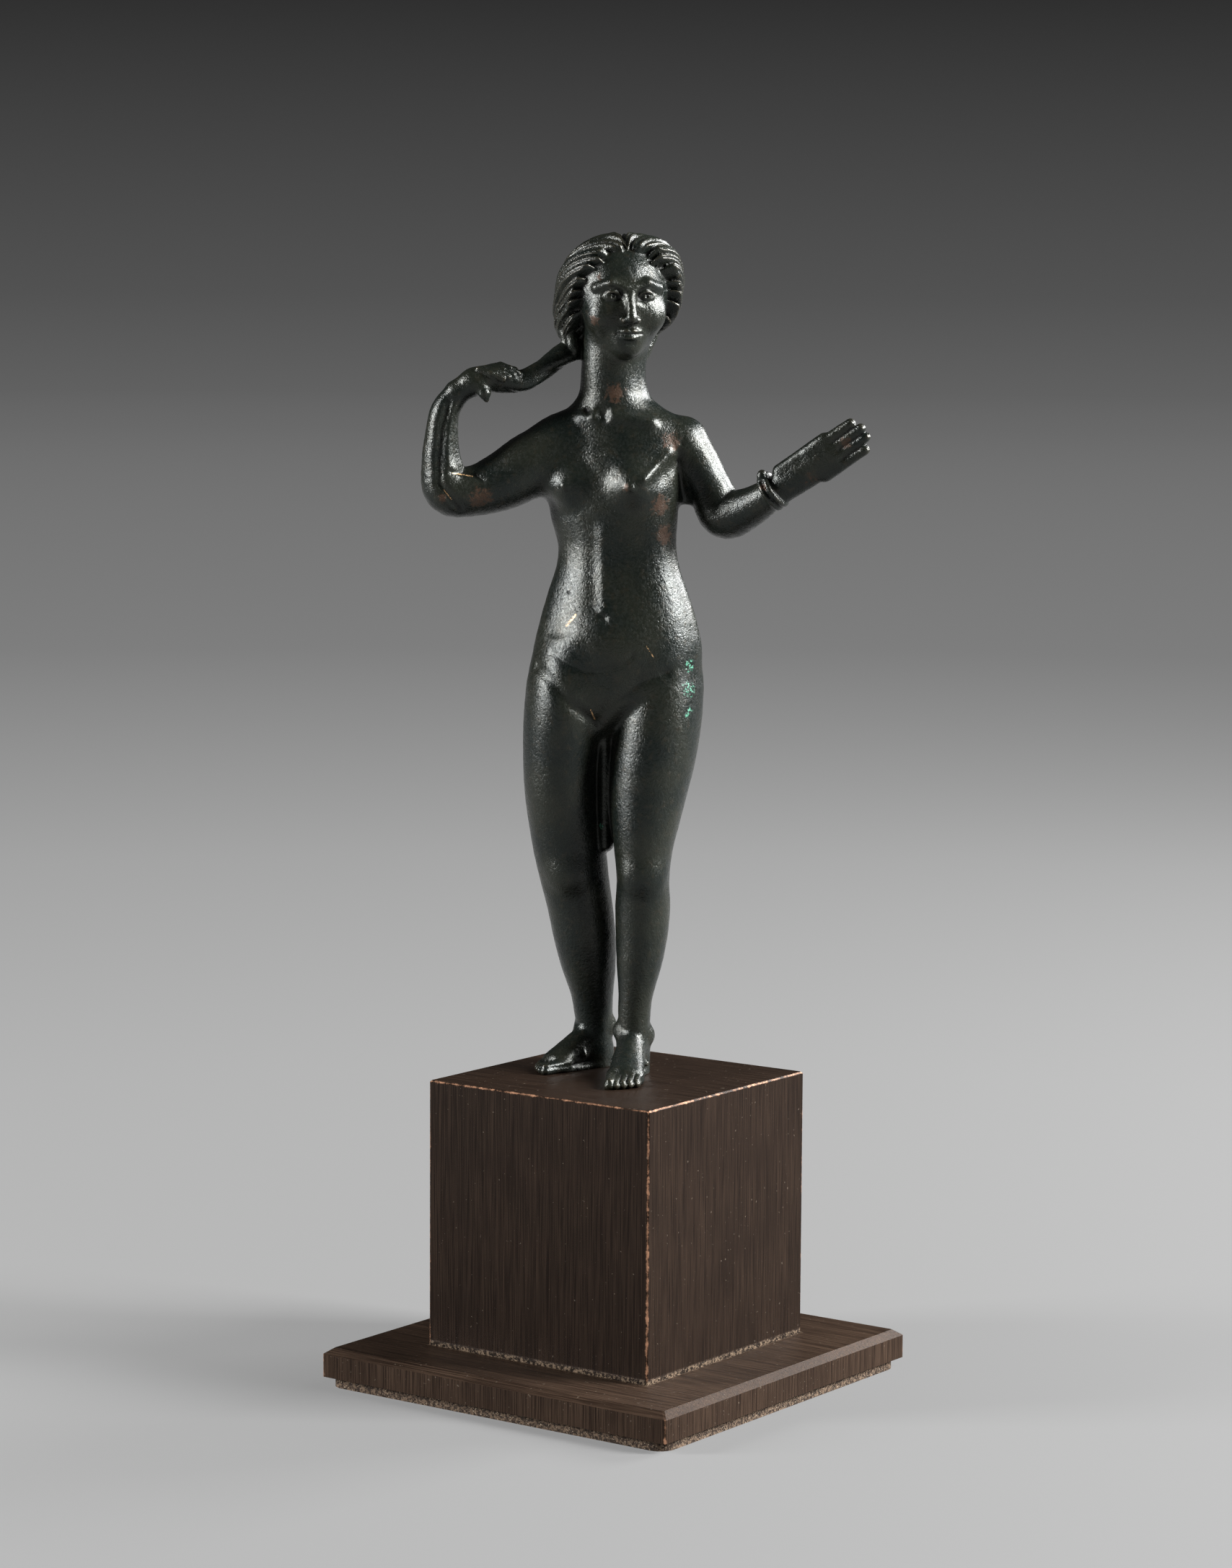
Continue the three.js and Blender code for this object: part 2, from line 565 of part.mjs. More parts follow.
function figureField() {
  const torso = torsoField();
  const legs = legsField();
  const head = boxed(headField(), [-14, -10, 126], [13, 19, 151]);
  const rightArm = boxed(chain(curveThrough(RIGHT_ARM), 0.3), [-36, -4, 100], [-5, 10, 127]);
  const leftArm = boxed(chain(curveThrough(LEFT_ARM), 0.3), [6, -10, 96], [30, 8, 118]);
  const tress = boxed(chain(curveThrough(TRESS), 0.3), [-27, -4, 121], [1, 18, 136]);
  const sideLock = boxed(chain(SIDE_LOCK, 0.6), [-13, -1, 127], [-5, 8, 140]);
  const rightHand = boxed(rightHandField(), [-32, -5, 117], [-15, 4, 129]);
  const leftHand = boxed(leftHandField(), [22, -17, 99], [45, -2, 120]);
  const leftFoot = boxed(footField(LEFT_FOOT), [-5, -17, -2], [9, 9, 10]);
  const rightFoot = boxed(footField(RIGHT_FOOT), [-19, -3, -2], [2, 17, 10]);
  return (x, y, z) => {
    let d = softMin(torso(x, y, z), legs(x, y, z), 2);
    if (y < 1) d += BODY_GROOVES.reduce((depth, groove) => depth + groove(x, z), 0);
    d = softMin(d, rightArm(x, y, z), 3);
    d = softMin(d, leftArm(x, y, z), 1.2);
    d = softMin(d, head(x, y, z), 1);
    d = softMin(d, sideLock(x, y, z), 0.5);
    d = softMin(d, tress(x, y, z), 0.4);
    d = softMin(d, rightHand(x, y, z), 0.4);
    d = softMin(d, leftHand(x, y, z), 0.8);
    d = softMin(d, leftFoot(x, y, z), 1);
    return softMin(d, rightFoot(x, y, z), 1);
  };
}

// The eight corners of a lattice cell and the edges between them.
const CORNERS = [...Array(8).keys()].map((n) => [n & 1, (n >> 1) & 1, (n >> 2) & 1]);
const CELL_EDGES = [];
for (let a = 0; a < 8; a += 1) {
  for (const bit of [1, 2, 4]) {
    if (!(a & bit)) CELL_EDGES.push([a, a | bit]);
  }
}

// Skin of a field: one vertex in each lattice cell that the surface crosses, joined by quads.

function skinOf(field, low, high, step) {
  const count = low.map((value, i) => Math.ceil((high[i] - value) / step) + 1);
  const [nx, ny, nz] = count;
  const index = (i, j, k) => i + nx * (j + ny * k);
  const value = sampleField(field, low, step, count);
  let filled = fillTangles(value, index, count);
  while (filled > 0) filled = fillTangles(value, index, count);
  const vertexOf = new Int32Array(nx * ny * nz).fill(-1);
  const points = [];
  const triangles = [];
  for (let k = 0; k < nz - 1; k += 1) {
    for (let j = 0; j < ny - 1; j += 1) {
      for (let i = 0; i < nx - 1; i += 1) {
        const vertex = cellVertex(value, index, i, j, k);
        if (vertex) {
          vertexOf[index(i, j, k)] = points.length / 3;
          points.push(low[0] + step * vertex[0], low[1] + step * vertex[1], low[2] + step * vertex[2]);
        }
      }
    }
  }
  for (let k = 1; k < nz - 1; k += 1) {
    for (let j = 1; j < ny - 1; j += 1) {
      for (let i = 1; i < nx - 1; i += 1) {
        const here = value[index(i, j, k)] < 0;
        if (here !== value[index(i + 1, j, k)] < 0) {
          const ring = [index(i, j - 1, k - 1), index(i, j, k - 1), index(i, j, k), index(i, j - 1, k)];
          pushQuad(triangles, ring.map((cell) => vertexOf[cell]), here);
        }
        if (here !== value[index(i, j + 1, k)] < 0) {
          const ring = [index(i - 1, j, k - 1), index(i - 1, j, k), index(i, j, k), index(i, j, k - 1)];
          pushQuad(triangles, ring.map((cell) => vertexOf[cell]), here);
        }
        if (here !== value[index(i, j, k + 1)] < 0) {
          const ring = [index(i - 1, j - 1, k), index(i, j - 1, k), index(i, j, k), index(i - 1, j, k)];
          pushQuad(triangles, ring.map((cell) => vertexOf[cell]), here);
        }
      }
    }
  }
  return { points, triangles };
}

function sampleField(field, low, step, [nx, ny, nz]) {
  const value = new Float32Array(nx * ny * nz);
  const blockRadius = BLOCK * step;
  for (let k0 = 0; k0 < nz; k0 += BLOCK) {
    for (let j0 = 0; j0 < ny; j0 += BLOCK) {
      for (let i0 = 0; i0 < nx; i0 += BLOCK) {
        const middle = [i0, j0, k0].map((start, axis) => low[axis] + step * (start + (BLOCK - 1) / 2));
        const far = field(...middle);
        const solve = Math.abs(far) < blockRadius;
        for (let k = k0; k < Math.min(k0 + BLOCK, nz); k += 1) {
          for (let j = j0; j < Math.min(j0 + BLOCK, ny); j += 1) {
            for (let i = i0; i < Math.min(i0 + BLOCK, nx); i += 1) {
              value[i + nx * (j + ny * k)] = solve
                ? field(low[0] + step * i, low[1] + step * j, low[2] + step * k)
                : far;
            }
          }
        }
      }
    }
  }
  return value;
}

// Whether the corners of one kind hang together along the cell's edges, for each pattern of signs.
function hangsTogether(pattern) {
  const members = CORNERS.map((_, corner) => corner).filter((corner) => (pattern >> corner) & 1);
  const reached = new Set(members.slice(0, 1));
  for (const corner of reached) {
    for (const bit of [1, 2, 4]) {
      if (members.includes(corner ^ bit)) reached.add(corner ^ bit);
    }
  }
  return reached.size === members.length;
}

const PATTERNS = [...Array(256).keys()];
const TANGLED = PATTERNS.map((pattern) => !hangsTogether(pattern) || !hangsTogether(255 - pattern));

// Fills the nearest corner of each cell where two sheets would meet in one vertex.
function fillTangles(value, index, [nx, ny, nz]) {
  let filled = 0;
  for (let k = 0; k < nz - 1; k += 1) {
    for (let j = 0; j < ny - 1; j += 1) {
      for (let i = 0; i < nx - 1; i += 1) {
        let pattern = 0;
        for (let n = 0; n < 8; n += 1) {
          if (value[index(i + (n & 1), j + ((n >> 1) & 1), k + (n >> 2))] < 0) pattern |= 1 << n;
        }
        if (!TANGLED[pattern]) continue;
        const places = CORNERS.map(([x, y, z]) => index(i + x, j + y, k + z)).filter((at) => value[at] >= 0);
        const nearest = places.reduce((best, at) => (value[at] < value[best] ? at : best));
        value[nearest] = -1e-3;
        filled += 1;
      }
    }
  }
  return filled;
}

function cellVertex(value, index, i, j, k) {
  const corner = CORNERS.map(([x, y, z]) => value[index(i + x, j + y, k + z)]);
  const inside = corner.filter((v) => v < 0).length;
  if (inside === 0 || inside === 8) return null;
  const sum = [0, 0, 0];
  let crossings = 0;
  for (const [a, b] of CELL_EDGES) {
    if (corner[a] < 0 !== corner[b] < 0) {
      const t = corner[a] / (corner[a] - corner[b]);
      for (let axis = 0; axis < 3; axis += 1) sum[axis] += lerp(CORNERS[a][axis], CORNERS[b][axis], t);
      crossings += 1;
    }
  }
  return [i + sum[0] / crossings, j + sum[1] / crossings, k + sum[2] / crossings];
}

function pushQuad(triangles, [a, b, c, d], flip) {
  if (flip) triangles.push(a, b, c, a, c, d);
  else triangles.push(a, c, b, a, d, c);
}

// Thins a closed skin by folding away the edges that shape it least, until a count is left.

function thinned({ points, triangles }, target) {
  const position = Float64Array.from(points);
  const vertexCount = position.length / 3;
  const faces = [];
  const facesAt = Array.from({ length: vertexCount }, () => new Set());
  for (let i = 0; i < triangles.length; i += 3) {
    const face = [triangles[i], triangles[i + 1], triangles[i + 2]];
    for (const v of face) facesAt[v].add(faces.length);
    faces.push(face);
  }
  const quadric = Array.from({ length: vertexCount }, () => new Float64Array(10));
  for (const face of faces) {
    const [nx, ny, nz, area] = facePlane(position, face);
    const d = -(nx * position[3 * face[0]] + ny * position[3 * face[0] + 1] + nz * position[3 * face[0] + 2]);
    const weight = area * fineness(position, face[0]);
    for (const v of face) addPlane(quadric[v], [nx, ny, nz, d], weight);
  }
  const version = new Int32Array(vertexCount);
  const heap = new Heap();
  const offer = (a, b) => {
    const fold = bestFold(position, quadric, a, b);
    heap.push({ ...fold, a, b, stamp: version[a] + version[b] });
  };
  for (const [a, b, c] of faces) {
    if (a < b) offer(a, b);
    if (b < c) offer(b, c);
    if (c < a) offer(c, a);
  }
  let left = faces.length;
  while (left > target && heap.size) {
    const { a, b, stamp, at } = heap.pop();
    if (stamp !== version[a] + version[b] || !facesAt[a].size || !facesAt[b].size) continue;
    if (!canFold(position, faces, facesAt, a, b, at)) continue;
    for (const f of [...facesAt[b]]) {
      const face = faces[f];
      if (face.includes(a)) {
        for (const v of face) facesAt[v].delete(f);
        faces[f] = null;
        left -= 1;
      } else {
        face[face.indexOf(b)] = a;
        facesAt[a].add(f);
      }
    }
    facesAt[b].clear();
    position.set(at, 3 * a);
    for (let i = 0; i < 10; i += 1) quadric[a][i] += quadric[b][i];
    version[a] += 1;
    for (const v of neighbours(faces, facesAt, a)) offer(a, v);
  }
  return compacted(position, faces.filter(Boolean));
}

// How much more closely the skin is kept at the head, hands and feet than elsewhere.
function fineness(position, v) {
  const [x, y, z] = [position[3 * v], position[3 * v + 1], position[3 * v + 2]];
  const part = FINE_PARTS.find(({ centre, radius }) => {
    const [dx, dy, dz] = [x - centre[0], y - centre[1], z - centre[2]];
    return Math.hypot(dx, dy, dz) < radius;
  });
  return part ? part.weight : 1;
}

function facePlane(position, [a, b, c], moved = -1, at = null) {
  const corner = (v, i) => (v === moved ? at[i] : position[3 * v + i]);
  const [ux, uy, uz] = [0, 1, 2].map((i) => corner(b, i) - corner(a, i));
  const [vx, vy, vz] = [0, 1, 2].map((i) => corner(c, i) - corner(a, i));
  const [nx, ny, nz] = [uy * vz - uz * vy, uz * vx - ux * vz, ux * vy - uy * vx];
  const size = Math.hypot(nx, ny, nz);
  const scale = size > 0 ? 1 / size : 0;
  const sides = [[ux, uy, uz], [vx, vy, vz], [vx - ux, vy - uy, vz - uz]];
  const longest = Math.max(...sides.map((side) => Math.hypot(...side)));
  return [nx * scale, ny * scale, nz * scale, size / 2, longest];
}

function addPlane(q, [a, b, c, d], weight) {
  const products = [a * a, a * b, a * c, a * d, b * b, b * c, b * d, c * c, c * d, d * d];
  products.forEach((product, i) => {
    q[i] += product * weight;
  });
}

function foldCost(q, x, y, z) {
  return q[0] * x * x + 2 * q[1] * x * y + 2 * q[2] * x * z + 2 * q[3] * x + q[4] * y * y
    + 2 * q[5] * y * z + 2 * q[6] * y + q[7] * z * z + 2 * q[8] * z + q[9];
}

const bestPoint = new THREE.Vector3();
const quadricMatrix = new THREE.Matrix3();

function bestFold(position, quadric, a, b) {
  const q = quadric[a].map((value, i) => value + quadric[b][i]);
  const start = [position[3 * a], position[3 * a + 1], position[3 * a + 2]];
  const end = [position[3 * b], position[3 * b + 1], position[3 * b + 2]];
  const middle = [(start[0] + end[0]) / 2, (start[1] + end[1]) / 2, (start[2] + end[2]) / 2];
  const span = Math.hypot(start[0] - end[0], start[1] - end[1], start[2] - end[2]);
  const options = [start, end, middle];
  quadricMatrix.set(q[0], q[1], q[2], q[1], q[4], q[5], q[2], q[5], q[7]);
  if (Math.abs(quadricMatrix.determinant()) > 1e-4 * (q[0] + q[4] + q[7]) ** 3) {
    const { x, y, z } = bestPoint.set(-q[3], -q[6], -q[8]).applyMatrix3(quadricMatrix.invert());
    if (Math.hypot(x - middle[0], y - middle[1], z - middle[2]) < 1.5 * span) options.push([x, y, z]);
  }
  const costs = options.map((at) => foldCost(q, at[0], at[1], at[2]));
  const pick = costs.indexOf(Math.min(...costs));
  return { at: options[pick], cost: Math.max(costs[pick], 0) + 1e-5 * span * span };
}

function neighbours(faces, facesAt, v) {
  const around = new Set();
  for (const f of facesAt[v]) for (const w of faces[f]) if (w !== v) around.add(w);
  return around;
}

function canFold(position, faces, facesAt, a, b, at) {
  const aroundA = neighbours(faces, facesAt, a);
  const shared = [...neighbours(faces, facesAt, b)].filter((v) => aroundA.has(v));
  if (shared.length !== 2 || !aroundA.has(b)) return false;
  for (const [v, other] of [[a, b], [b, a]]) {
    for (const f of facesAt[v]) {
      const face = faces[f];
      if (face.includes(other)) continue;
      const before = facePlane(position, face);
      const after = facePlane(position, face, v, at);
      if (after[3] < SLIVER * after[4] ** 2) return false;
      if (before[0] * after[0] + before[1] * after[1] + before[2] * after[2] < FOLD_LIMIT) return false;
    }
  }
  return true;
}

function compacted(position, faces) {
  const renamed = new Map();
  const points = [];
  const triangles = faces.flat().map((v) => {
    if (!renamed.has(v)) {
      renamed.set(v, renamed.size);
      points.push(position[3 * v], position[3 * v + 1], position[3 * v + 2]);
    }
    return renamed.get(v);
  });
  return { points, triangles };
}

// Smallest-first queue of folds.
class Heap {
  items = [];

  get size() {
    return this.items.length;
  }

  push(item) {
    const { items } = this;
    items.push(item);
    let i = items.length - 1;
    while (i > 0) {
      const parent = (i - 1) >> 1;
      if (items[parent].cost <= items[i].cost) break;
      [items[parent], items[i]] = [items[i], items[parent]];
      i = parent;
    }
  }

  pop() {
    const { items } = this;
    const top = items[0];
    const last = items.pop();
    if (items.length) {
      items[0] = last;
      let i = 0;
      while (true) {
        const [l, r] = [2 * i + 1, 2 * i + 2];
        let least = i;
        if (l < items.length && items[l].cost < items[least].cost) least = l;
        if (r < items.length && items[r].cost < items[least].cost) least = r;
        if (least === i) break;
        [items[least], items[i]] = [items[i], items[least]];
        i = least;
      }
    }
    return top;
  }
}

function geometryOf({ points, triangles }) {
  const geometry = new THREE.BufferGeometry();
  geometry.setAttribute('position', new THREE.Float32BufferAttribute(points, 3));
  geometry.setIndex(triangles);
  return geometry;
}

function solidOf(geometry) {
  const bare = geometry.clone();
  bare.deleteAttribute('normal');
  bare.deleteAttribute('uv');
  const merged = mergeVertices(bare);
  return new wasm.Manifold(new wasm.Mesh({
    numProp: 3,
    vertProperties: Float32Array.from(merged.attributes.position.array),
    triVerts: Uint32Array.from(merged.index.array),
  }));
}

function geometryOfSolid(solid) {
  const mesh = solid.getMesh();
  return geometryOf({ points: Array.from(mesh.vertProperties), triangles: Array.from(mesh.triVerts) });
}

// The whole casting, turned on to the cube and cut flat under the soles.

function venusGeometry() {
  const skin = skinOf(figureField(), LATTICE_LOW, LATTICE_HIGH, LATTICE_STEP);
  const coarse = geometryOf(thinned(skin, FIGURE_TRIANGLES));
  coarse.rotateZ(TURN_ON_CUBE);
  coarse.translate(0, 0, CUBE_TOP);
  const underSoles = new THREE.BoxGeometry(PLATE_SIDE, PLATE_SIDE, CUBE_SIDE);
  underSoles.translate(0, 0, CUBE_TOP - CUBE_SIDE / 2);
  return geometryOfSolid(solidOf(coarse).subtract(solidOf(underSoles)));
}

// Blocks of stacked outlines, closed below and above.

function ringSolid(rings) {
  const count = rings[0].length;
  const points = rings.flat(2);
  const triangles = [];
  for (let level = 0; level < rings.length - 1; level += 1) {
    for (let i = 0; i < count; i += 1) {
      const [a, b] = [level * count + i, level * count + ((i + 1) % count)];
      triangles.push(a, b, b + count, a, b + count, a + count);
    }
  }
  const top = (rings.length - 1) * count;
  for (let i = 1; i < count - 1; i += 1) {
    triangles.push(0, i + 1, i);
    triangles.push(top, top + i, top + i + 1);
  }
  return geometryOf({ points, triangles });
}

function squareOutline(side, corner, arcSteps, z) {
  const outline = [];
  const inset = side / 2 - corner;
  for (const [sx, sy, start] of [[1, -1, -90], [1, 1, 0], [-1, 1, 90], [-1, -1, 180]]) {
    for (let i = 0; i <= arcSteps; i += 1) {
      const angle = degToRad(start + (90 * i) / arcSteps);
      outline.push([sx * inset + corner * Math.cos(angle), sy * inset + corner * Math.sin(angle), z]);
    }
  }
  return outline;
}

function corkGeometry() {
  const arcSteps = 6;
  return ringSolid([
    squareOutline(CORK_SIDE, CORK_CORNER_RADIUS, arcSteps, 0),
    squareOutline(CORK_SIDE, CORK_CORNER_RADIUS, arcSteps, CORK_THICKNESS),
  ]);
}

function plateGeometry() {
  const top = PLATE_BOTTOM + PLATE_THICKNESS;
  const inner = PLATE_SIDE - 2 * PLATE_BEVEL_WIDTH;
  return ringSolid([
    squareOutline(PLATE_SIDE, WORN_EDGE, 1, PLATE_BOTTOM),
    squareOutline(PLATE_SIDE, WORN_EDGE, 1, top - PLATE_BEVEL_DROP),
    squareOutline(inner, WORN_EDGE, 1, top),
  ]);
}

function cubeGeometry() {
  return ringSolid([
    squareOutline(CUBE_SIDE, WORN_EDGE, 1, CUBE_BOTTOM),
    squareOutline(CUBE_SIDE, WORN_EDGE, 1, CUBE_TOP - WORN_EDGE),
    squareOutline(CUBE_SIDE - 2 * WORN_EDGE, WORN_EDGE, 1, CUBE_TOP),
  ]);
}

const bronze = new THREE.MeshStandardMaterial({ color: 0x1c211e, roughness: 0.35, metalness: 0.8 });
const brushedMetal = new THREE.MeshStandardMaterial({ color: 0x33261f, roughness: 0.4, metalness: 0.7 });
const plateMetal = new THREE.MeshStandardMaterial({ color: 0x4a3930, roughness: 0.4, metalness: 0.7 });
const cork = new THREE.MeshStandardMaterial({ color: 0x8a6f52, roughness: 0.95, metalness: 0 });

function piece(name, geometry, material) {
  const mesh = new THREE.Mesh(geometry, material);
  mesh.name = name;
  return mesh;
}

const statuette = new THREE.Group();
statuette.add(
  piece('venus_figure', venusGeometry(), bronze),
  piece('cube_plinth', cubeGeometry(), brushedMetal),
  piece('base_plate', plateGeometry(), plateMetal),
  piece('cork_pad', corkGeometry(), cork),
);

export default statuette;
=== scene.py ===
# Looks of a cast bronze Venus on a cube of brushed metal with a foot plate and a cork pad.
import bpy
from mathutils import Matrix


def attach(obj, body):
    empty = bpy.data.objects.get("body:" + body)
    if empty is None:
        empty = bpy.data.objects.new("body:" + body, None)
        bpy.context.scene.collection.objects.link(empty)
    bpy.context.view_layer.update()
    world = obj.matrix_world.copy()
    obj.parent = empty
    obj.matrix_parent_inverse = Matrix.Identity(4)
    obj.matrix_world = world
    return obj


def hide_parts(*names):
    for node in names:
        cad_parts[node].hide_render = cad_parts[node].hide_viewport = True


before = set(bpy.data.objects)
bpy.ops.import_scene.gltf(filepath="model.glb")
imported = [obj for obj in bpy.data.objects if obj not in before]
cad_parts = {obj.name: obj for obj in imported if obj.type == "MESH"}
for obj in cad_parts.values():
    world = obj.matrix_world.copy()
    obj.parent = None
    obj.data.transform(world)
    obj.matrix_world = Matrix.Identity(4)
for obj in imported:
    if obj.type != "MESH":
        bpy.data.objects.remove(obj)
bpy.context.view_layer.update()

from concurrent.futures import ThreadPoolExecutor
from math import cos, hypot, pi, radians, sin

import bpy
import numpy as np
from mathutils import Matrix, Vector

MM = 0.001

# The photograph, and the camera worked out from the edges of the cube and the plate.
PHOTO_HEIGHT = 2174
FOCAL_PIXELS = 5871.4
CAMERA_PLACE = (0.43820, -0.60464, 0.19314)
CAMERA_RIGHT = (0.80884366, 0.58799567, 0.00574581)
CAMERA_DOWN = (0.07159733, -0.0887808, -0.99347461)
CAMERA_AHEAD = (-0.58364865, 0.80397702, -0.11390871)

# Foot, plate and cube, in millimetres.
CORK_THICKNESS = 1.8
PLATE_SIDE = 75
PLATE_THICKNESS = 5.2
CUBE_SIDE = 48
PLATE_TOP = CORK_THICKNESS + PLATE_THICKNESS
CUBE_TOP = PLATE_TOP + CUBE_SIDE

# The figure is drawn in millimetres with x across her outspread arms, to her left, y to her back
# and z up from her soles, and stands on the cube turned by this angle.
TURN_ON_CUBE = radians(35.93)
CHEST_TURN = radians(20)
PELVIS_TURN = radians(12)
HEAD_TURN = radians(-11)

# Body sections: height, centre across, centre back, half width, half depth.
TORSO_SECTIONS = [
    (60.5, -3, 4.2, 2.4, 5),
    (64, -2.6, 3.9, 5.4, 7.4),
    (68, -1.8, 3.7, 10.4, 8.9),
    (72, -1, 3.5, 14.2, 9.3),
    (76, -0.45, 3.2, 15.1, 9.4),
    (81, -0.35, 3, 14.2, 9),
    (86, -0.4, 3, 12.8, 8),
    (91, -0.5, 3, 11.2, 7.2),
    (94.5, -0.65, 3, 10.8, 7.1),
    (99.5, -1.2, 3.1, 11.6, 7.5),
    (105, -1.3, 3.3, 12.2, 7.8),
    (110, -0.9, 3.6, 12.2, 7.4),
    (115, -0.5, 4, 11.2, 6.2),
    (119, -0.6, 4.3, 9, 5),
]
NECK_SECTIONS = [
    (110, -1, 4.8, 8, 6),
    (117, -1.1, 4.6, 7.2, 6),
    (121, -1.3, 4.2, 6.2, 5.8),
    (125, -1.5, 3.8, 5.7, 5.6),
    (133, -0.8, 3.4, 6, 6),
]
RIGHT_LEG_SECTIONS = [
    (-1, -4.2, 10.8, 3.1, 3.6),
    (2, -4.2, 10.8, 3.1, 3.6),
    (7, -4.3, 10.4, 3.2, 3.5),
    (10.2, -4.5, 10, 3.5, 3.6),
    (13, -4.7, 9.8, 3.8, 4.1),
    (18.3, -5.4, 9.4, 4.9, 5.2),
    (23.6, -6.1, 8.9, 5.6, 6),
    (29, -6.9, 8.2, 5.9, 6.2),
    (34.3, -7.9, 7, 6.2, 6.2),
    (39.6, -8.8, 6.2, 6.5, 6.6),
    (45, -9.7, 5.6, 6.5, 7.1),
    (50.4, -10.3, 5, 6.6, 7.7),
    (56, -10.4, 4.6, 6.8, 8.2),
    (62, -10, 4.2, 7.2, 8.9),
    (67, -9.4, 3.9, 7.5, 9.2),
    (72, -8.6, 3.7, 7.6, 8.9),
    (78, -7.4, 3.5, 6, 7.6),
]
LEFT_LEG_SECTIONS = [
    (-1, 2.9, 3.4, 2.8, 3.4),
    (2, 2.9, 3.4, 2.8, 3.4),
    (8, 2.9, 2.9, 2.85, 3.2),
    (11.9, 2.95, 2.6, 2.95, 3.2),
    (14.6, 3.2, 2.6, 3.15, 3.6),
    (19.8, 3.75, 2.7, 4.05, 4.6),
    (25, 4.15, 2.8, 4.65, 5.4),
    (30.2, 4.3, 2.3, 4.9, 5.7),
    (35.3, 4.3, 1.2, 4.7, 5.5),
    (40.5, 4.35, 0.9, 5.2, 6),
    (45.7, 4.7, 1.1, 6.1, 6.8),
    (50.8, 5.2, 1.5, 6.9, 7.5),
    (56, 5.9, 2, 7.5, 8.3),
    (62, 6.6, 2.6, 7.8, 8.9),
    (67, 7.1, 3, 7.7, 9.1),
    (72, 7.3, 3.3, 7.4, 8.8),
    (78, 6.6, 3.5, 6, 7.6),
]

# Limbs as chains of balls: across, back, height, radius.
RIGHT_ARM = [
    (-10.5, 4.4, 112, 5.1),
    (-15.5, 4, 109.1, 5.7),
    (-20.6, 3.4, 106.1, 5.2),
    (-25.6, 2.8, 104.3, 4.5),
    (-30.4, 2.2, 104.5, 4.45),
    (-31.7, 1.4, 109.4, 3.5),
    (-31.6, 0.7, 114.4, 2.9),
    (-31, 0.3, 118.3, 2.6),
    (-28.9, 0, 121.5, 2.2),
]
LEFT_ARM = [
    (10.9, 2.2, 113.2, 4.2),
    (13.3, 1.7, 109.3, 4.05),
    (15.6, 1.2, 105.3, 3.8),
    (18.2, 0.6, 100.5, 4.3),
    (22.3, -2.6, 101.7, 3.6),
    (26.2, -6, 104.3, 2.8),
]
TRESS = [
    (-23.6, -0.1, 123.6, 1.8),
    (-20.6, 0, 123.6, 2.2),
    (-17.3, 0.4, 123.6, 2.1),
    (-14.4, 1.2, 125.4, 2),
    (-11.9, 2.2, 127.1, 2.05),
    (-9.6, 3.4, 128.6, 2.2),
    (-6.4, 7, 130.2, 2.5),
    (-3.2, 11.5, 132, 3.1),
]
SIDE_LOCK = [
    (-9.6, 4.6, 136.4, 2.4),
    (-9.4, 3.6, 132.8, 1.9),
    (-8.6, 3, 129.4, 1.7),
]

# Hands.
RIGHT_FINGERS = 4
RIGHT_FINGER_RADIUS = 0.52
LEFT_WRIST = (27.3, -7, 105)
LEFT_FINGERTIPS = (42.6, -13.25, 115.9)
LEFT_HAND_WIDTH = 6.4
LEFT_HAND_THICKNESS = 3.2
LEFT_FINGERS_SHORT = (0.05, 0, 0.01, 0.08)
BRACELET_CENTRE = (26.5, -6.6, 104.9)
BRACELET_RADIUS = 3.05
BRACELET_WIRE = 0.5
BEZEL_CENTRE = (24.5, -7.9, 107.5)
BEZEL_RADII = (0.9, 0.9, 1.2)

# Head.
HEAD_CENTRE = (-0.3, 3.4, 138.9)
HAIR_THICKNESS = 2.5
LOCKS_PER_SIDE = 9
LOCK_FAN = radians(132)
LOCK_SWEEP = 0.85
LOCK_RELIEF = 0.65
STRANDS_PER_LOCK = 3
STRAND_RELIEF = 0.42

# Feet: ankle on the ground plan, heading to her right of straight ahead, length from the ankle
# to the toes, and which way the big toe lies.
LEFT_FOOT = {"ankle": (2.5, 2.6), "heading": 6, "reach": 17.2, "inner": -1}
RIGHT_FOOT = {"ankle": (-4.4, 10.2), "heading": 52, "reach": 13.6, "inner": 1}

# Height of the soft unevenness that the casting leaves all over.
UNEVENNESS = 0.03

# Fineness of the skin: along each axis the step narrows between two places, for the head. Points
# that end up off the skin by more than SETTLE_OFF are settled back on it.
LATTICE_STEP = 0.21
FINE_STEP = 0.14
LATTICE_X = (-38.0, -13.0, 12.6, 46.0)
LATTICE_Y = (-19.2, -7.5, 8.0, 21.0)
LATTICE_Z = (-0.8, 127.0, 151.5, 152.2)
BLOCK = 8
FIGURE_TRIANGLES = 190000
SETTLE_ROUNDS = 4
SETTLE_OFF = 0.12
SETTLE_STEP = 1.0
SLOPE_REACH = 0.05
UNTANGLE_ROUNDS = 3
RELIEF_SMOOTHING = 2
RELIEF_SCALE = 900


# Solid fields: each gives the distance of points from a surface, below zero inside.


def soft_min(a, b, reach):
    near = np.maximum(reach - np.abs(a - b), 0)
    return np.minimum(a, b) - near * near / (4 * reach)


def soft_max(a, b, reach):
    return -soft_min(-a, -b, reach)


def smoothstep(value, low, high):
    t = np.clip((value - low) / (high - low), 0, 1)
    return t * t * (3 - 2 * t)


def scaled_length(x, y, z, rx, ry, rz):
    near = np.sqrt((x / rx) ** 2 + (y / ry) ** 2 + (z / rz) ** 2)
    steep = np.sqrt((x / rx**2) ** 2 + (y / ry**2) ** 2 + (z / rz**2) ** 2)
    return near * (near - 1) / np.maximum(steep, 1e-6)


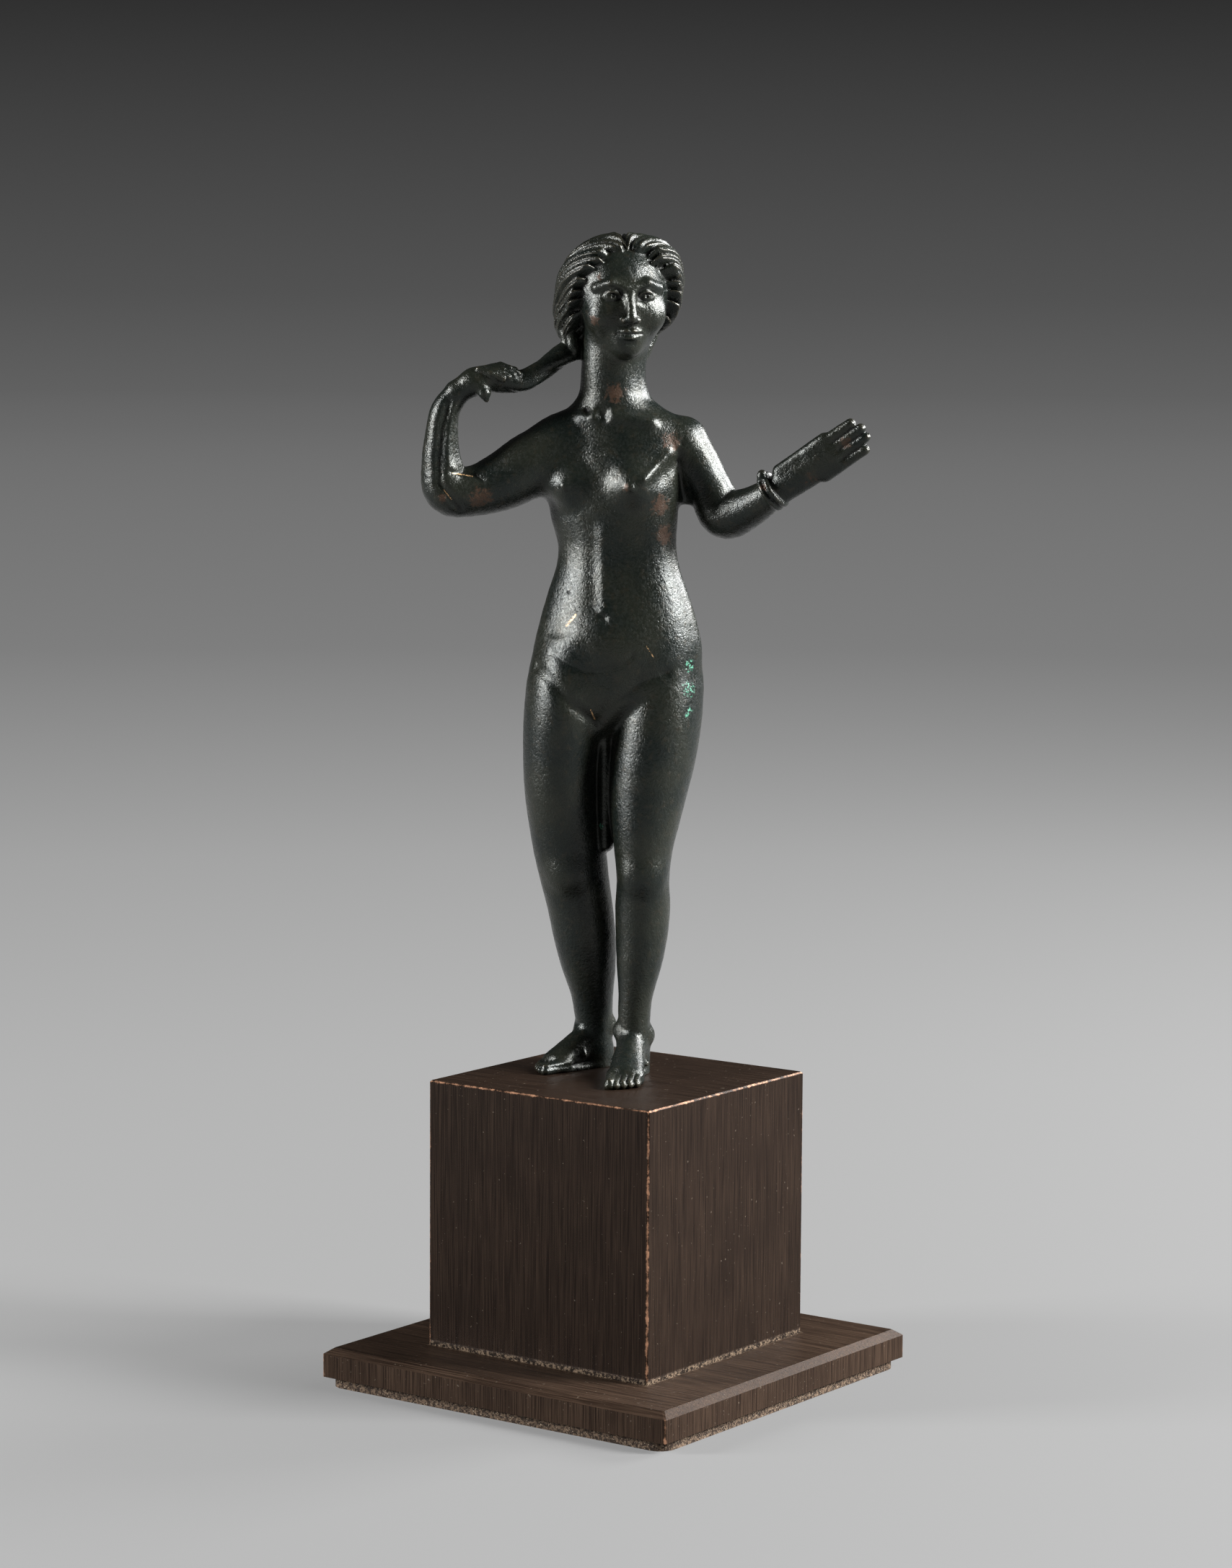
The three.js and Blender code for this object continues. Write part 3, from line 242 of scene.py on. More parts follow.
def ellipsoid(centre, radii):
    def field(x, y, z):
        return scaled_length(x - centre[0], y - centre[1], z - centre[2], *radii)

    return field


def taper(start, end):
    origin = np.array(start[:3], np.float32)
    way = np.array(end[:3], np.float32) - origin
    square = float(way @ way)

    def field(x, y, z):
        px, py, pz = x - origin[0], y - origin[1], z - origin[2]
        t = np.clip((px * way[0] + py * way[1] + pz * way[2]) / square, 0, 1)
        reach = np.sqrt((px - t * way[0]) ** 2 + (py - t * way[1]) ** 2 + (pz - t * way[2]) ** 2)
        return reach - (start[3] + (end[3] - start[3]) * t)

    return field


def nearest_of(fields, reach=None):
    """The least of several fields, blended over a reach where one is given."""

    def field(x, y, z):
        d = fields[0](x, y, z)
        for other in fields[1:]:
            here = other(x, y, z)
            d = np.minimum(d, here) if reach is None else soft_min(d, here, reach)
        return d

    return field


def added(d, fields, reach, x, y, z):
    for one in fields:
        d = soft_min(d, one(x, y, z), reach)
    return d


def cut(d, fields, reach, x, y, z):
    for one in fields:
        d = soft_max(d, -one(x, y, z), reach)
    return d


def chain(balls, reach=0.8):
    return nearest_of([taper(a, b) for a, b in zip(balls, balls[1:])], reach)


def curve_through(rows, parts=5):
    """Rows on a smooth curve drawn through the given rows."""
    rows = np.array(rows, float)
    padded = np.vstack([2 * rows[0] - rows[1], rows, 2 * rows[-1] - rows[-2]])
    made = []
    for a, b, c, d in zip(padded, padded[1:], padded[2:], padded[3:]):
        for t in np.arange(parts) / parts:
            bend = 2 * b + (c - a) * t + (2 * a - 5 * b + 4 * c - d) * t**2 + (3 * b - a - 3 * c + d) * t**3
            made.append(bend / 2)
    return made + [rows[-1]]


def limb(balls):
    """A limb along a smooth curve, with the length run along it and the angle round it."""
    rows = curve_through(balls)
    lengths = [np.linalg.norm(b[:3] - a[:3]) for a, b in zip(rows, rows[1:])]
    runs = np.concatenate([[0], np.cumsum(lengths)])

    def field(x, y, z):
        best = np.full_like(x, 1e3)
        along = np.zeros_like(x)
        above = np.zeros_like(x)
        before = np.zeros_like(x)
        for start, end, run, length in zip(rows, rows[1:], runs, lengths):
            way = end[:3] - start[:3]
            px, py, pz = x - start[0], y - start[1], z - start[2]
            t = np.clip((px * way[0] + py * way[1] + pz * way[2]) / length**2, 0, 1)
            px, py, pz = px - t * way[0], py - t * way[1], pz - t * way[2]
            d = np.sqrt(px * px + py * py + pz * pz) - (start[3] + (end[3] - start[3]) * t)
            nearer = d < best
            best = np.where(nearer, d, best)
            along = np.where(nearer, run + t * length, along)
            above = np.where(nearer, (pz * way[0] - px * way[2]) / length, above)
            before = np.where(nearer, -py, before)
        return best, along, np.arctan2(above, before)

    return field


def smooth_limb(balls):
    whole = limb(balls)
    return lambda x, y, z: whole(x, y, z)[0]


def corded_limb(balls, cords, twist, depth):
    """A limb cut into twisted cords."""
    whole = limb(balls)

    def field(x, y, z):
        d, along, around = whole(x, y, z)
        phase = cords * around / (2 * pi) + twist * along
        crest = 1 - np.abs(2 * (phase % 1) - 1)
        return d + depth * (1 - crest**0.7)

    return field


def unit(vector):
    return vector / np.linalg.norm(vector)


def paddle(start, end, across, wide, thick):
    """A bar of elliptical section whose width lies along a given direction."""
    origin = np.array(start, float)
    way = np.array(end, float) - origin
    length = np.linalg.norm(way)
    axis = way / length
    side = np.array(across, float)
    side = unit(side - axis * (axis @ side))
    face = np.cross(axis, side)

    def field(x, y, z):
        px, py, pz = x - origin[0], y - origin[1], z - origin[2]
        along = px * axis[0] + py * axis[1] + pz * axis[2]
        t = np.clip(along / length, 0, 1)
        w = px * side[0] + py * side[1] + pz * side[2]
        n = px * face[0] + py * face[1] + pz * face[2]
        thickness = thick[0] + (thick[1] - thick[0]) * t
        width = wide[0] + (wide[1] - wide[0]) * t
        return scaled_length(along - t * length, w, n, thickness, width, thickness)

    return field


def hermite_table(rows, heights):
    """The sections' four columns at each height, smooth from one section to the next."""
    rows = np.array(rows, float)
    z = rows[:, 0]
    k = np.clip(np.searchsorted(z, heights), 1, len(z) - 1)
    before, after = np.maximum(k - 2, 0), np.minimum(k + 1, len(z) - 1)
    span = z[k] - z[k - 1]
    t = ((heights - z[k - 1]) / span)[:, None]
    low, high = rows[k - 1, 1:], rows[k, 1:]
    slope_low = (high - rows[before, 1:]) / (z[k] - z[before])[:, None] * span[:, None]
    slope_high = (rows[after, 1:] - low) / (z[after] - z[k - 1])[:, None] * span[:, None]
    return (
        (2 * t**3 - 3 * t**2 + 1) * low
        + (t**3 - 2 * t**2 + t) * slope_low
        + (3 * t**2 - 2 * t**3) * high
        + (t**3 - t**2) * slope_high
    )


def section_stack(rows, turn_at, rounding):
    """A body of stacked ellipses turned by an angle about z."""
    bottom, top = rows[0][0], rows[-1][0]
    heights = np.linspace(bottom, top, 401)
    table = hermite_table(rows, heights)

    def field(x, y, z):
        cx, cy, rx, ry = (np.interp(z, heights, column).astype(np.float32) for column in table.T)
        px, py = x - cx, y - cy
        turn = turn_at(z)
        c, s = np.cos(turn), np.sin(turn)
        d = scaled_length(px * c - py * s, px * s + py * c, 0, rx, ry, 1)
        return soft_max(soft_max(d, z - top, rounding), bottom - z, rounding)

    return field


def boxed(field, low, high, margin=4.0):
    """Skips the inside of a field for points well clear of its box."""

    def near(x, y, z):
        outside = np.sqrt(
            np.maximum(np.maximum(low[0] - x, x - high[0]), 0) ** 2
            + np.maximum(np.maximum(low[1] - y, y - high[1]), 0) ** 2
            + np.maximum(np.maximum(low[2] - z, z - high[2]), 0) ** 2
        )
        chosen = outside <= margin
        if chosen.any():
            outside[chosen] = field(x[chosen], y[chosen], z[chosen])
        return outside

    return near


def line_depth(points, width, depth):
    """Depth of a soft groove along a line of points, seen from the front or the back.
    A depth below zero makes a ridge."""

    def groove(x, z):
        nearest = np.full_like(x, 1e3)
        for (ax, az), (bx, bz) in zip(points, points[1:]):
            dx, dz = bx - ax, bz - az
            t = np.clip(((x - ax) * dx + (z - az) * dz) / (dx * dx + dz * dz), 0, 1)
            nearest = np.minimum(nearest, np.hypot(x - ax - t * dx, z - az - t * dz))
        return depth * np.exp(-((nearest / width) ** 2))

    return groove


def pit_depth(across, height, width, depth):
    """Depth of one round pit, seen from the front."""
    return lambda x, z: depth * np.exp(-(((x - across) ** 2 + (z - height) ** 2) / width**2))


def turned(centre, turn):
    c, s = cos(turn), sin(turn)

    def place(across, back, z):
        return (centre[0] + across * c + back * s, centre[1] - across * s + back * c, z)

    return place


# Torso and neck, with the lines worked into the front and the back.

CHEST = turned((-1.3, 3.3), CHEST_TURN)
PELVIS = turned((-0.8, 3.5), PELVIS_TURN)

FRONT_LINES = [
    line_depth([(-4.9, 99), (-4.8, 90), (-4.6, 84)], 1.3, 0.16),
    line_depth([(-3.3, 97), (-3.2, 90), (-3, 83.8)], 1.0, -0.2),
    line_depth([(-11.8, 76.1), (-9.2, 74.1), (-6.2, 72.9), (-2.6, 73.1), (0.7, 74.5), (2, 75.8)], 0.6, 0.17),
    line_depth([(7.7, 72.7), (10.3, 73.7)], 0.5, 0.12),
    line_depth([(-14.5, 73.3), (-11.8, 71), (-8.5, 66.7), (-4.5, 64)], 1, 0.42),
    line_depth([(8, 72.8), (3.4, 71.1), (-0.6, 68.1), (-2.9, 65.4), (-3.9, 63.7)], 1, 0.42),
    line_depth([(-9.6, 95), (-6.6, 98.4), (-3.4, 99.6), (0.4, 98.4), (3.4, 95)], 1.8, 0.1),
    line_depth([(4.2, 106.9), (6.2, 109), (8.4, 111.2)], 0.9, -0.42),
    line_depth([(6, 106), (8.2, 108), (9.6, 109.4)], 1.2, 0.25),
    line_depth([(10.1, 111.4), (10.5, 108), (10.8, 105), (11.4, 103)], 0.7, 0.4),
    pit_depth(-6, 118.5, 0.55, 0.6),
    pit_depth(-7.2, 117.4, 1.3, -0.25),
    pit_depth(-5, 117.2, 1.1, -0.2),
    pit_depth(10.6, 112.9, 0.4, 0.4),
    pit_depth(10.1, 110, 0.35, 0.35),
    pit_depth(10.8, 113.8, 0.3, 0.3),
    pit_depth(-9.1, 86.6, 0.25, 0.25),
    pit_depth(-2.9, 82.4, 0.8, 0.45),
]
BACK_LINES = [
    line_depth([(0.6, 113), (0.8, 98), (0.4, 86), (-0.4, 77)], 1.3, 0.55),
]
ARM_LINES = [
    line_depth([(-30.2, 120), (-31.4, 116), (-31.9, 110), (-31.8, 105.6), (-31, 104.5), (-28.4, 101.4)],
               0.75, 0.55),
    line_depth([(-29.4, 119), (-30.4, 113), (-30.2, 109), (-28.6, 107)], 0.6, -0.2),
    line_depth([(-29.8, 107.7), (-27, 107.3), (-24.4, 106.3)], 0.45, 0.3),
]


def torso_field():
    def turn_at(z):
        return PELVIS_TURN + (CHEST_TURN - PELVIS_TURN) * smoothstep(z, 76, 100)

    trunk = section_stack(TORSO_SECTIONS, turn_at, 3)
    neck = section_stack(NECK_SECTIONS, np.zeros_like, 1)
    yoke = taper((-11, 4.4, 113, 4), (11, 2.6, 113.2, 3.9))
    breasts = [ellipsoid(CHEST(side, -5.2, 105.6), (3.9, 3.7, 3.7)) for side in (-5.8, 5.8)]
    nipples = [ellipsoid(CHEST(side, -8.6, 105.4), (0.8, 0.8, 0.7)) for side in (-6, 6.2)]
    belly = ellipsoid(PELVIS(0, -3.2, 77.8), (8.5, 6.4, 6))
    buttocks = nearest_of([ellipsoid(PELVIS(side, 5.2, 68.5), (7.2, 6.6, 8)) for side in (-6.6, 6.6)])
    blades = [ellipsoid(CHEST(side, 4.2, 107.5), (4.2, 3.8, 5.5)) for side in (-5.6, 5.6)]
    collarbones = [
        chain([(*CHEST(side * 1.6, -4.9, 117.4), 0.6), (*CHEST(side * 8, -3, 116.6), 0.7)])
        for side in (-1, 1)
    ]
    throat = ellipsoid(CHEST(0, -6.7, 118.2), (1.3, 1.4, 1.2))
    side_flesh = taper((10.5, 2.2, 111, 2.9), (11.9, 1.8, 103.7, 1.7))

    def field(x, y, z):
        d = soft_min(trunk(x, y, z), yoke(x, y, z), 3.5)
        d = soft_min(d, neck(x, y, z), 3.5)
        d = added(d, breasts, 2.4, x, y, z)
        d = added(d, nipples, 0.7, x, y, z)
        d = soft_min(d, belly(x, y, z), 3)
        d = soft_min(d, buttocks(x, y, z), 2.2)
        d = added(d, blades, 2.4, x, y, z)
        d = added(d, collarbones, 1.6, x, y, z)
        d = soft_min(d, side_flesh(x, y, z), 2)
        return soft_max(d, -throat(x, y, z), 1.2)

    return field


# Legs, with the web of metal left between the thighs.


def legs_field():
    right = section_stack(RIGHT_LEG_SECTIONS, np.zeros_like, 1)
    left = section_stack(LEFT_LEG_SECTIONS, np.zeros_like, 1)
    web = paddle((-2.5, 5.6, 41.4), (-2.7, 5, 62), (0, 1, 0), (4.4, 5), (1.7, 1.9))
    knees = [ellipsoid(centre, (3.4, 2.7, 3.6)) for centre in ((-8.6, 2.6, 36.6), (4.3, -2, 36.6))]
    ankles = [
        ellipsoid(centre, (1.3, 1.5, 1.5))
        for centre in ((-1.6, 10.6, 7.4), (-6.6, 10.8, 6.6), (0.4, 3, 7.6), (5.3, 3.6, 6.8))
    ]

    def field(x, y, z):
        right_leg = soft_min(right(x, y, z), knees[0](x, y, z), 2)
        left_leg = soft_min(left(x, y, z), knees[1](x, y, z), 2)
        right_leg = added(right_leg, ankles[:2], 1.4, x, y, z)
        left_leg = added(left_leg, ankles[2:], 1.4, x, y, z)
        return soft_min(np.minimum(right_leg, left_leg), web(x, y, z), 0.8)

    return field


# One foot: a wedge from ankle to ball, heel, sole, five toes and a crease over the instep.


def foot_field(ankle, heading, reach, inner):
    turn = radians(heading)

    def place(forward, side, z):
        return (
            ankle[0] - forward * sin(turn) + side * inner * cos(turn),
            ankle[1] - forward * cos(turn) - side * inner * sin(turn),
            z,
        )

    ball = reach * 0.62
    across = np.array(place(0, 1, 0)) - np.array((*ankle, 0))
    arch = paddle(place(1, 0, 4.6), place(ball, 0, 1.7), across, (2.6, 3.2), (3.6, 1.9))
    heel = ellipsoid(place(-1.2, 0, 2), (2.7, 2.9, 3.4))
    sole = paddle(place(-1.4, 0, 0.2), place(ball, 0, 0.4), across, (2.4, 3.2), (1.4, 1.3))
    toes = []
    for i in range(5):
        side = 2.4 - i * 1.22
        radius = 1.15 if i == 0 else 0.85
        tip = reach - radius - i * i * 0.14
        root = (*place(ball - 0.5, side, 1.3), radius)
        toes.append(taper(root, (*place(tip, side * 0.92, 0.85), radius)))
    strap = chain(
        [(*place(4.4, side, height), 0.5) for side, height in ((-3, 2.6), (-1.4, 4.4), (1.4, 4.6), (3, 2.8))]
    )

    toe = nearest_of(toes)

    def field(x, y, z):
        d = soft_min(arch(x, y, z), heel(x, y, z), 1.5)
        d = soft_min(d, sole(x, y, z), 1)
        d = soft_min(d, toe(x, y, z), 0.5)
        d = soft_min(d, strap(x, y, z), 0.5)
        return d + 0.22 * np.exp(-(((z - 1.25) / 0.32) ** 2))

    return field


# Right hand closed on the tress, left hand open and flat with a bracelet at the wrist.


def right_hand_field():
    palm = chain([(-28.9, 0, 121.6, 2.2), (-26, -0.4, 123.4, 2.3), (-22.4, -0.6, 124.4, 2.1)], 1)
    knuckles = chain([(-25.6, -0.4, 125, 0.9), (-21.4, -0.2, 126, 0.8), (-18.8, -0.2, 125.6, 0.6)], 0.6)
    fingers = []
    for i in range(RIGHT_FINGERS):
        back = 0.45 * i
        root = (-25.1 + 1.27 * i, -1.9 + back, 125.7 + 0.27 * i, RIGHT_FINGER_RADIUS)
        middle = (-22.9 + 1.07 * i, -2.55 + back, 125 + 0.3 * i, RIGHT_FINGER_RADIUS)
        tip = (-20.7 + 0.87 * i, -2.5 + back, 124 + 0.33 * i, RIGHT_FINGER_RADIUS)
        fingers.append(chain([root, middle, tip], 0.3))
    finger = nearest_of(fingers)
    thumb = chain([(-24.9, -1.5, 123, 1.3), (-24, -2, 121.5, 1.05), (-23.7, -2, 120.4, 0.5)], 0.5)

    def field(x, y, z):
        hand = soft_min(palm(x, y, z), knuckles(x, y, z), 0.8)
        hand = soft_min(hand, thumb(x, y, z), 0.5)
        return soft_min(hand, finger(x, y, z), 0.2)

    return field


def left_hand_field():
    wrist = np.array(LEFT_WRIST, float)
    way = np.array(LEFT_FINGERTIPS, float) - wrist
    length = np.linalg.norm(way)
    axis = way / length
    across = np.array((0.52, 0.05, -0.85))
    across = unit(across - axis * (axis @ across))
    face = np.cross(axis, across)

    def at(along, side, out=0.0):
        return tuple(wrist + axis * along * length + across * side + face * out)

    half = LEFT_HAND_WIDTH / 2
    thin = LEFT_HAND_THICKNESS / 2
    palm = paddle(at(0, 0), at(0.6, 0), across, (2.7, half), (2.2, thin))
    fingers = []
    for i, short in enumerate(LEFT_FINGERS_SHORT):
        side = (i - 1.5) * half * 0.5
        fingers.append(taper((*at(0.45, side), 1.25), (*at(0.95 - short, side * 1.08), 0.9)))
    finger = nearest_of(fingers, 0.15)
    thumb = taper((*at(0.12, -half * 0.8), 1.3), (*at(0.62, -half * 0.95), 0.95))
    bezel = ellipsoid(BEZEL_CENTRE, BEZEL_RADII)

    def ring(x, y, z):
        px, py, pz = x - BRACELET_CENTRE[0], y - BRACELET_CENTRE[1], z - BRACELET_CENTRE[2]
        along = px * axis[0] + py * axis[1] + pz * axis[2]
        out = np.sqrt(np.maximum(px * px + py * py + pz * pz - along * along, 0))
        rims = [np.hypot(along - place, out - BRACELET_RADIUS) - BRACELET_WIRE for place in (-0.6, 0.6)]
        return soft_min(rims[0], rims[1], 0.3)

    def field(x, y, z):
        d = soft_min(palm(x, y, z), finger(x, y, z), 0.8)
        d = soft_min(d, thumb(x, y, z), 0.7)
        d = soft_min(d, ring(x, y, z), 0.2)
        return soft_min(d, bezel(x, y, z), 0.15)

    return field


# Head: a calm, regular face under thick locks swept back from a centre parting.


def face_field():
    sides = (-1, 1)
    cranium = ellipsoid((0, 1, 1.8), (8.9, 9.2, 8.2))
    oval = ellipsoid((0, -1.8, -2), (7.2, 7.4, 9))
    chin = ellipsoid((0, -5.9, -9), (2.6, 2.6, 2.2))
    cheeks = [ellipsoid((side * 4, -5.4, -3.6), (2.9, 3, 3)) for side in sides]
    brows = [
        chain([(side * 1.1, -8.9, 1.0, 0.6), (side * 3.2, -8.5, 1.9, 0.6), (side * 5.6, -6.7, 1.1, 0.6)])
        for side in sides
    ]
    sockets = [ellipsoid((side * 3.1, -9.5, -0.35), (2.1, 1.8, 1.35)) for side in sides]
    eyes = [ellipsoid((side * 3.05, -7.2, -0.55), (1.7, 1.4, 1.1)) for side in sides]
    pupils = [ellipsoid((side * 3.05, -8.75, -0.45), (0.28, 0.5, 0.28)) for side in sides]
    lids = []
    for side in sides:
        inner, outer = (side * 1.35, -8, -0.85), (side * 4.85, -7, -0.7)
        upper = [(*inner, 0.2), (side * 2.1, -8.6, 0.2, 0.3), (side * 3.4, -8.55, 0.4, 0.32), (*outer, 0.22)]
        lids.append(smooth_limb(upper))
        lower = [
            (*inner, 0.18),
            (side * 2.4, -8.4, -1.5, 0.24),
            (side * 3.6, -8.15, -1.5, 0.24),
            (*outer, 0.2),
        ]
        lids.append(smooth_limb(lower))
        fold = [(side * 1.7, -8.6, 0.5, 0.14), (side * 3.3, -8.6, 1.05, 0.18), (side * 4.9, -7.2, 0.3, 0.14)]
        lids.append(smooth_limb(fold))
    bridge = chain([(0, -8.6, 0.9, 0.8), (0, -9.8, -2, 0.7), (0, -10.6, -4.1, 0.95)], 0.4)
    wings = [ellipsoid((side * 1.1, -9.6, -4.55), (0.7, 0.95, 0.6)) for side in sides]
    nostrils = [ellipsoid((side * 0.75, -10.1, -5.2), (0.36, 0.5, 0.4)) for side in sides]
    muzzle = ellipsoid((0, -6.6, -7), (2.8, 2, 2.2))
    upper_lip = smooth_limb(
        [(-2.2, -7.8, -6.75, 0.2), (-0.8, -8.9, -6.4, 0.42), (0, -8.95, -6.55, 0.4),
         (0.8, -8.9, -6.4, 0.42), (2.2, -7.8, -6.75, 0.2)])
    lower_lip = smooth_limb(
        [(-2, -7.8, -7.05, 0.2), (-0.7, -8.7, -7.5, 0.5), (0.7, -8.7, -7.5, 0.5), (2, -7.8, -7.05, 0.2)])
    mouth_line = smooth_limb(
        [(-2.3, -8.1, -6.85, 0.12), (-0.7, -9.3, -6.95, 0.14), (0.7, -9.3, -6.95, 0.14),
         (2.3, -8.1, -6.85, 0.12)])
    under_lip = ellipsoid((0, -9.4, -8.6), (1.5, 0.9, 0.5))
    philtrum = taper((0, -9.5, -5.4, 0.3), (0, -9.45, -6.1, 0.3))

    def field(x, y, z):
        d = soft_min(cranium(x, y, z), oval(x, y, z), 2.5)
        d = soft_min(d, chin(x, y, z), 2)
        d = added(d, cheeks, 1.5, x, y, z)
        d = soft_min(d, muzzle(x, y, z), 1.4)
        d = added(d, brows, 0.9, x, y, z)
        d = cut(d, sockets, 0.9, x, y, z)
        d = added(d, eyes, 0.15, x, y, z)
        d = cut(d, pupils, 0.1, x, y, z)
        d = added(d, lids, 0.2, x, y, z)
        d = soft_min(d, bridge(x, y, z), 0.9)
        d = added(d, wings, 0.5, x, y, z)
        d = cut(d, nostrils, 0.2, x, y, z)
        d = soft_max(d, -philtrum(x, y, z), 0.4)
        d = added(d, [upper_lip, lower_lip], 0.35, x, y, z)
        d = soft_max(d, -mouth_line(x, y, z), 0.2)
        return soft_max(d, -under_lip(x, y, z), 0.6)

    return field


# Angle back from the face axis at which the hair starts, by height around the face.
HAIRLINE_RISE = (-1, -0.8, -0.55, 0, 0.6, 1)
HAIRLINE_ANGLE = (112, 100, 80, 57, 49, 44)


def wander(index, seed):
    """A fixed number from -1 to 1 for each lock."""
    return np.sin(index * 12.9898 + seed * 78.233) * np.cos(index * 4.1414 + seed * 9.17)


def hair_field():
    scalp = nearest_of(
        [
            ellipsoid((0, 1, 0.6), (8.9, 9.3, 7.9)),
            ellipsoid((3.6, 0, 3.2), (5.2, 6.6, 5.2)),
            ellipsoid((-5.8, 2.6, -3.4), (3.4, 4.2, 4.6)),
        ],
        1.2,
    )
    knot = ellipsoid((-2, 9.6, -5.8), (4.4, 3.4, 3.2))
    tail = [(6.2, 3.2, -5.6, 1.9), (5.7, 2.6, -8.2, 1.4), (4.9, 1.8, -10.4, 0.95), (4.1, 1.2, -11.7, 0.6)]
    curl = corded_limb(tail, 3, 0.1, 0.3)

    def field(x, y, z):
        lowered = np.maximum(y, 0)
        ax, az = x + 0.2 * lowered, z + 0.5 + 0.35 * lowered
        out = np.hypot(ax, az)
        back = np.arctan2(out, -y)
        side = np.arctan2(az, np.abs(ax))
        start = np.interp(az / np.maximum(out, 1e-6), HAIRLINE_RISE, np.radians(HAIRLINE_ANGLE))
        way = np.where(ax < 0, 1.0, 2.0)
        swept = np.maximum(back - start, 0)
        combed = side + LOCK_SWEEP * swept * (1 - 0.6 * smoothstep(side, 0.8, 1.5))
        phase = (pi / 2 - combed) / LOCK_FAN * LOCKS_PER_SIDE + 0.12 * np.sin(3.4 * swept + 1.7 * way)
        phase = phase + 0.14 * np.sin(2.1 * phase + way)
        number = np.floor(phase)
        within = phase - number
        lobe = 1 - np.abs(2 * within - 1) ** 2.4
        strand = STRANDS_PER_LOCK * within + 0.3 * wander(number, way) + 0.15 * np.sin(5 * swept + number)
        crest = 1 - np.abs(2 * (strand % 1) - 1)
        fade = smoothstep(out, 1.5, 6)
        ragged = start + 0.1 * (1 - lobe) + 0.07 * wander(number, way + 5)
        cover = smoothstep(back, ragged, ragged + 0.13 + 0.12 * smoothstep(side, 0.7, 1.5))
        relief = LOCK_RELIEF * (1 - lobe) + STRAND_RELIEF * (1 - crest**0.8) - 0.35 * wander(number, way + 2)
        relief = relief + 0.7 * np.exp(-((ax / 0.6) ** 2))
        d = scalp(x, y, z) + (np.maximum(relief, 0.1) * fade - HAIR_THICKNESS) * cover + 0.6 * (1 - cover)
        d = soft_min(d, knot(x, y, z), 1.2)
        return soft_min(d, curl(x, y, z), 0.6)

    return field


def head_field():
    face = face_field()
    hair = hair_field()
    c, s = cos(HEAD_TURN), sin(HEAD_TURN)

    def field(x, y, z):
        px, py, pz = x - HEAD_CENTRE[0], y - HEAD_CENTRE[1], z - HEAD_CENTRE[2]
        hx, hy = px * c - py * s, px * s + py * c
        return soft_min(face(hx, hy, pz), hair(hx, hy, pz), 0.4)

    return field


def figure_field():
    torso = boxed(torso_field(), (-20, -12, 58), (20, 17, 136))
    legs = boxed(legs_field(), (-20, -9, -1), (17, 17, 80))
    head = boxed(head_field(), (-14, -10, 126), (13, 19, 151))
    right_arm = boxed(smooth_limb(RIGHT_ARM), (-36, -4, 100), (-5, 10, 127))
    left_arm = boxed(smooth_limb(LEFT_ARM), (6, -10, 96), (30, 8, 118))
    tress = boxed(corded_limb(TRESS, 3, 0.12, 0.42), (-27, -4, 121), (1, 18, 136))
    side_lock = boxed(corded_limb(SIDE_LOCK, 4, 0.05, 0.4), (-13, -1, 127), (-5, 8, 140))
    right_hand = boxed(right_hand_field(), (-32, -5, 117), (-15, 4, 129))
    left_hand = boxed(left_hand_field(), (22, -17, 99), (45, -2, 120))
    left_foot = boxed(foot_field(**LEFT_FOOT), (-5, -17, -1), (9, 9, 10))
    right_foot = boxed(foot_field(**RIGHT_FOOT), (-19, -3, -1), (2, 17, 10))

    def field(x, y, z):
        d = soft_min(torso(x, y, z), legs(x, y, z), 2)
        front = smoothstep(-y, -1.5, 0.5)
        d = d + front * sum(line(x, z) for line in FRONT_LINES)
        d = d + smoothstep(y, 4, 7) * sum(line(x, z) for line in BACK_LINES)
        arm = right_arm(x, y, z) + smoothstep(-y, -1, 0.6) * sum(line(x, z) for line in ARM_LINES)
        d = soft_min(d, arm, 3)
        d = soft_min(d, left_arm(x, y, z), 1.2)
        d = soft_min(d, head(x, y, z), 1)
        d = soft_min(d, side_lock(x, y, z), 0.3)
        d = soft_min(d, tress(x, y, z), 0.4)
        d = soft_min(d, right_hand(x, y, z), 0.4)
        d = soft_min(d, left_hand(x, y, z), 0.8)
        d = added(d, [left_foot, right_foot], 1, x, y, z)
        waves = np.sin(1.9 * x + 0.7 * z) * np.sin(1.6 * y - 0.9 * z) * np.sin(1.4 * z + 0.8 * x)
        d = d + UNEVENNESS * waves
        return np.maximum(d, -z)

    return field


# Skin of a field: one vertex in each lattice cell that the surface crosses, joined by quads.


def lattice_axis(low, fine_low, fine_high, high):
    """Places along one axis, nearer each other between two of them, in whole blocks."""
    spans = [(low, fine_low, LATTICE_STEP), (fine_low, fine_high, FINE_STEP), (fine_high, high, LATTICE_STEP)]
    places = np.concatenate([np.arange(start, end, step) for start, end, step in spans])
    spare = -len(places) % BLOCK
    return np.concatenate([places, places[-1] + LATTICE_STEP * np.arange(1, spare + 1)])


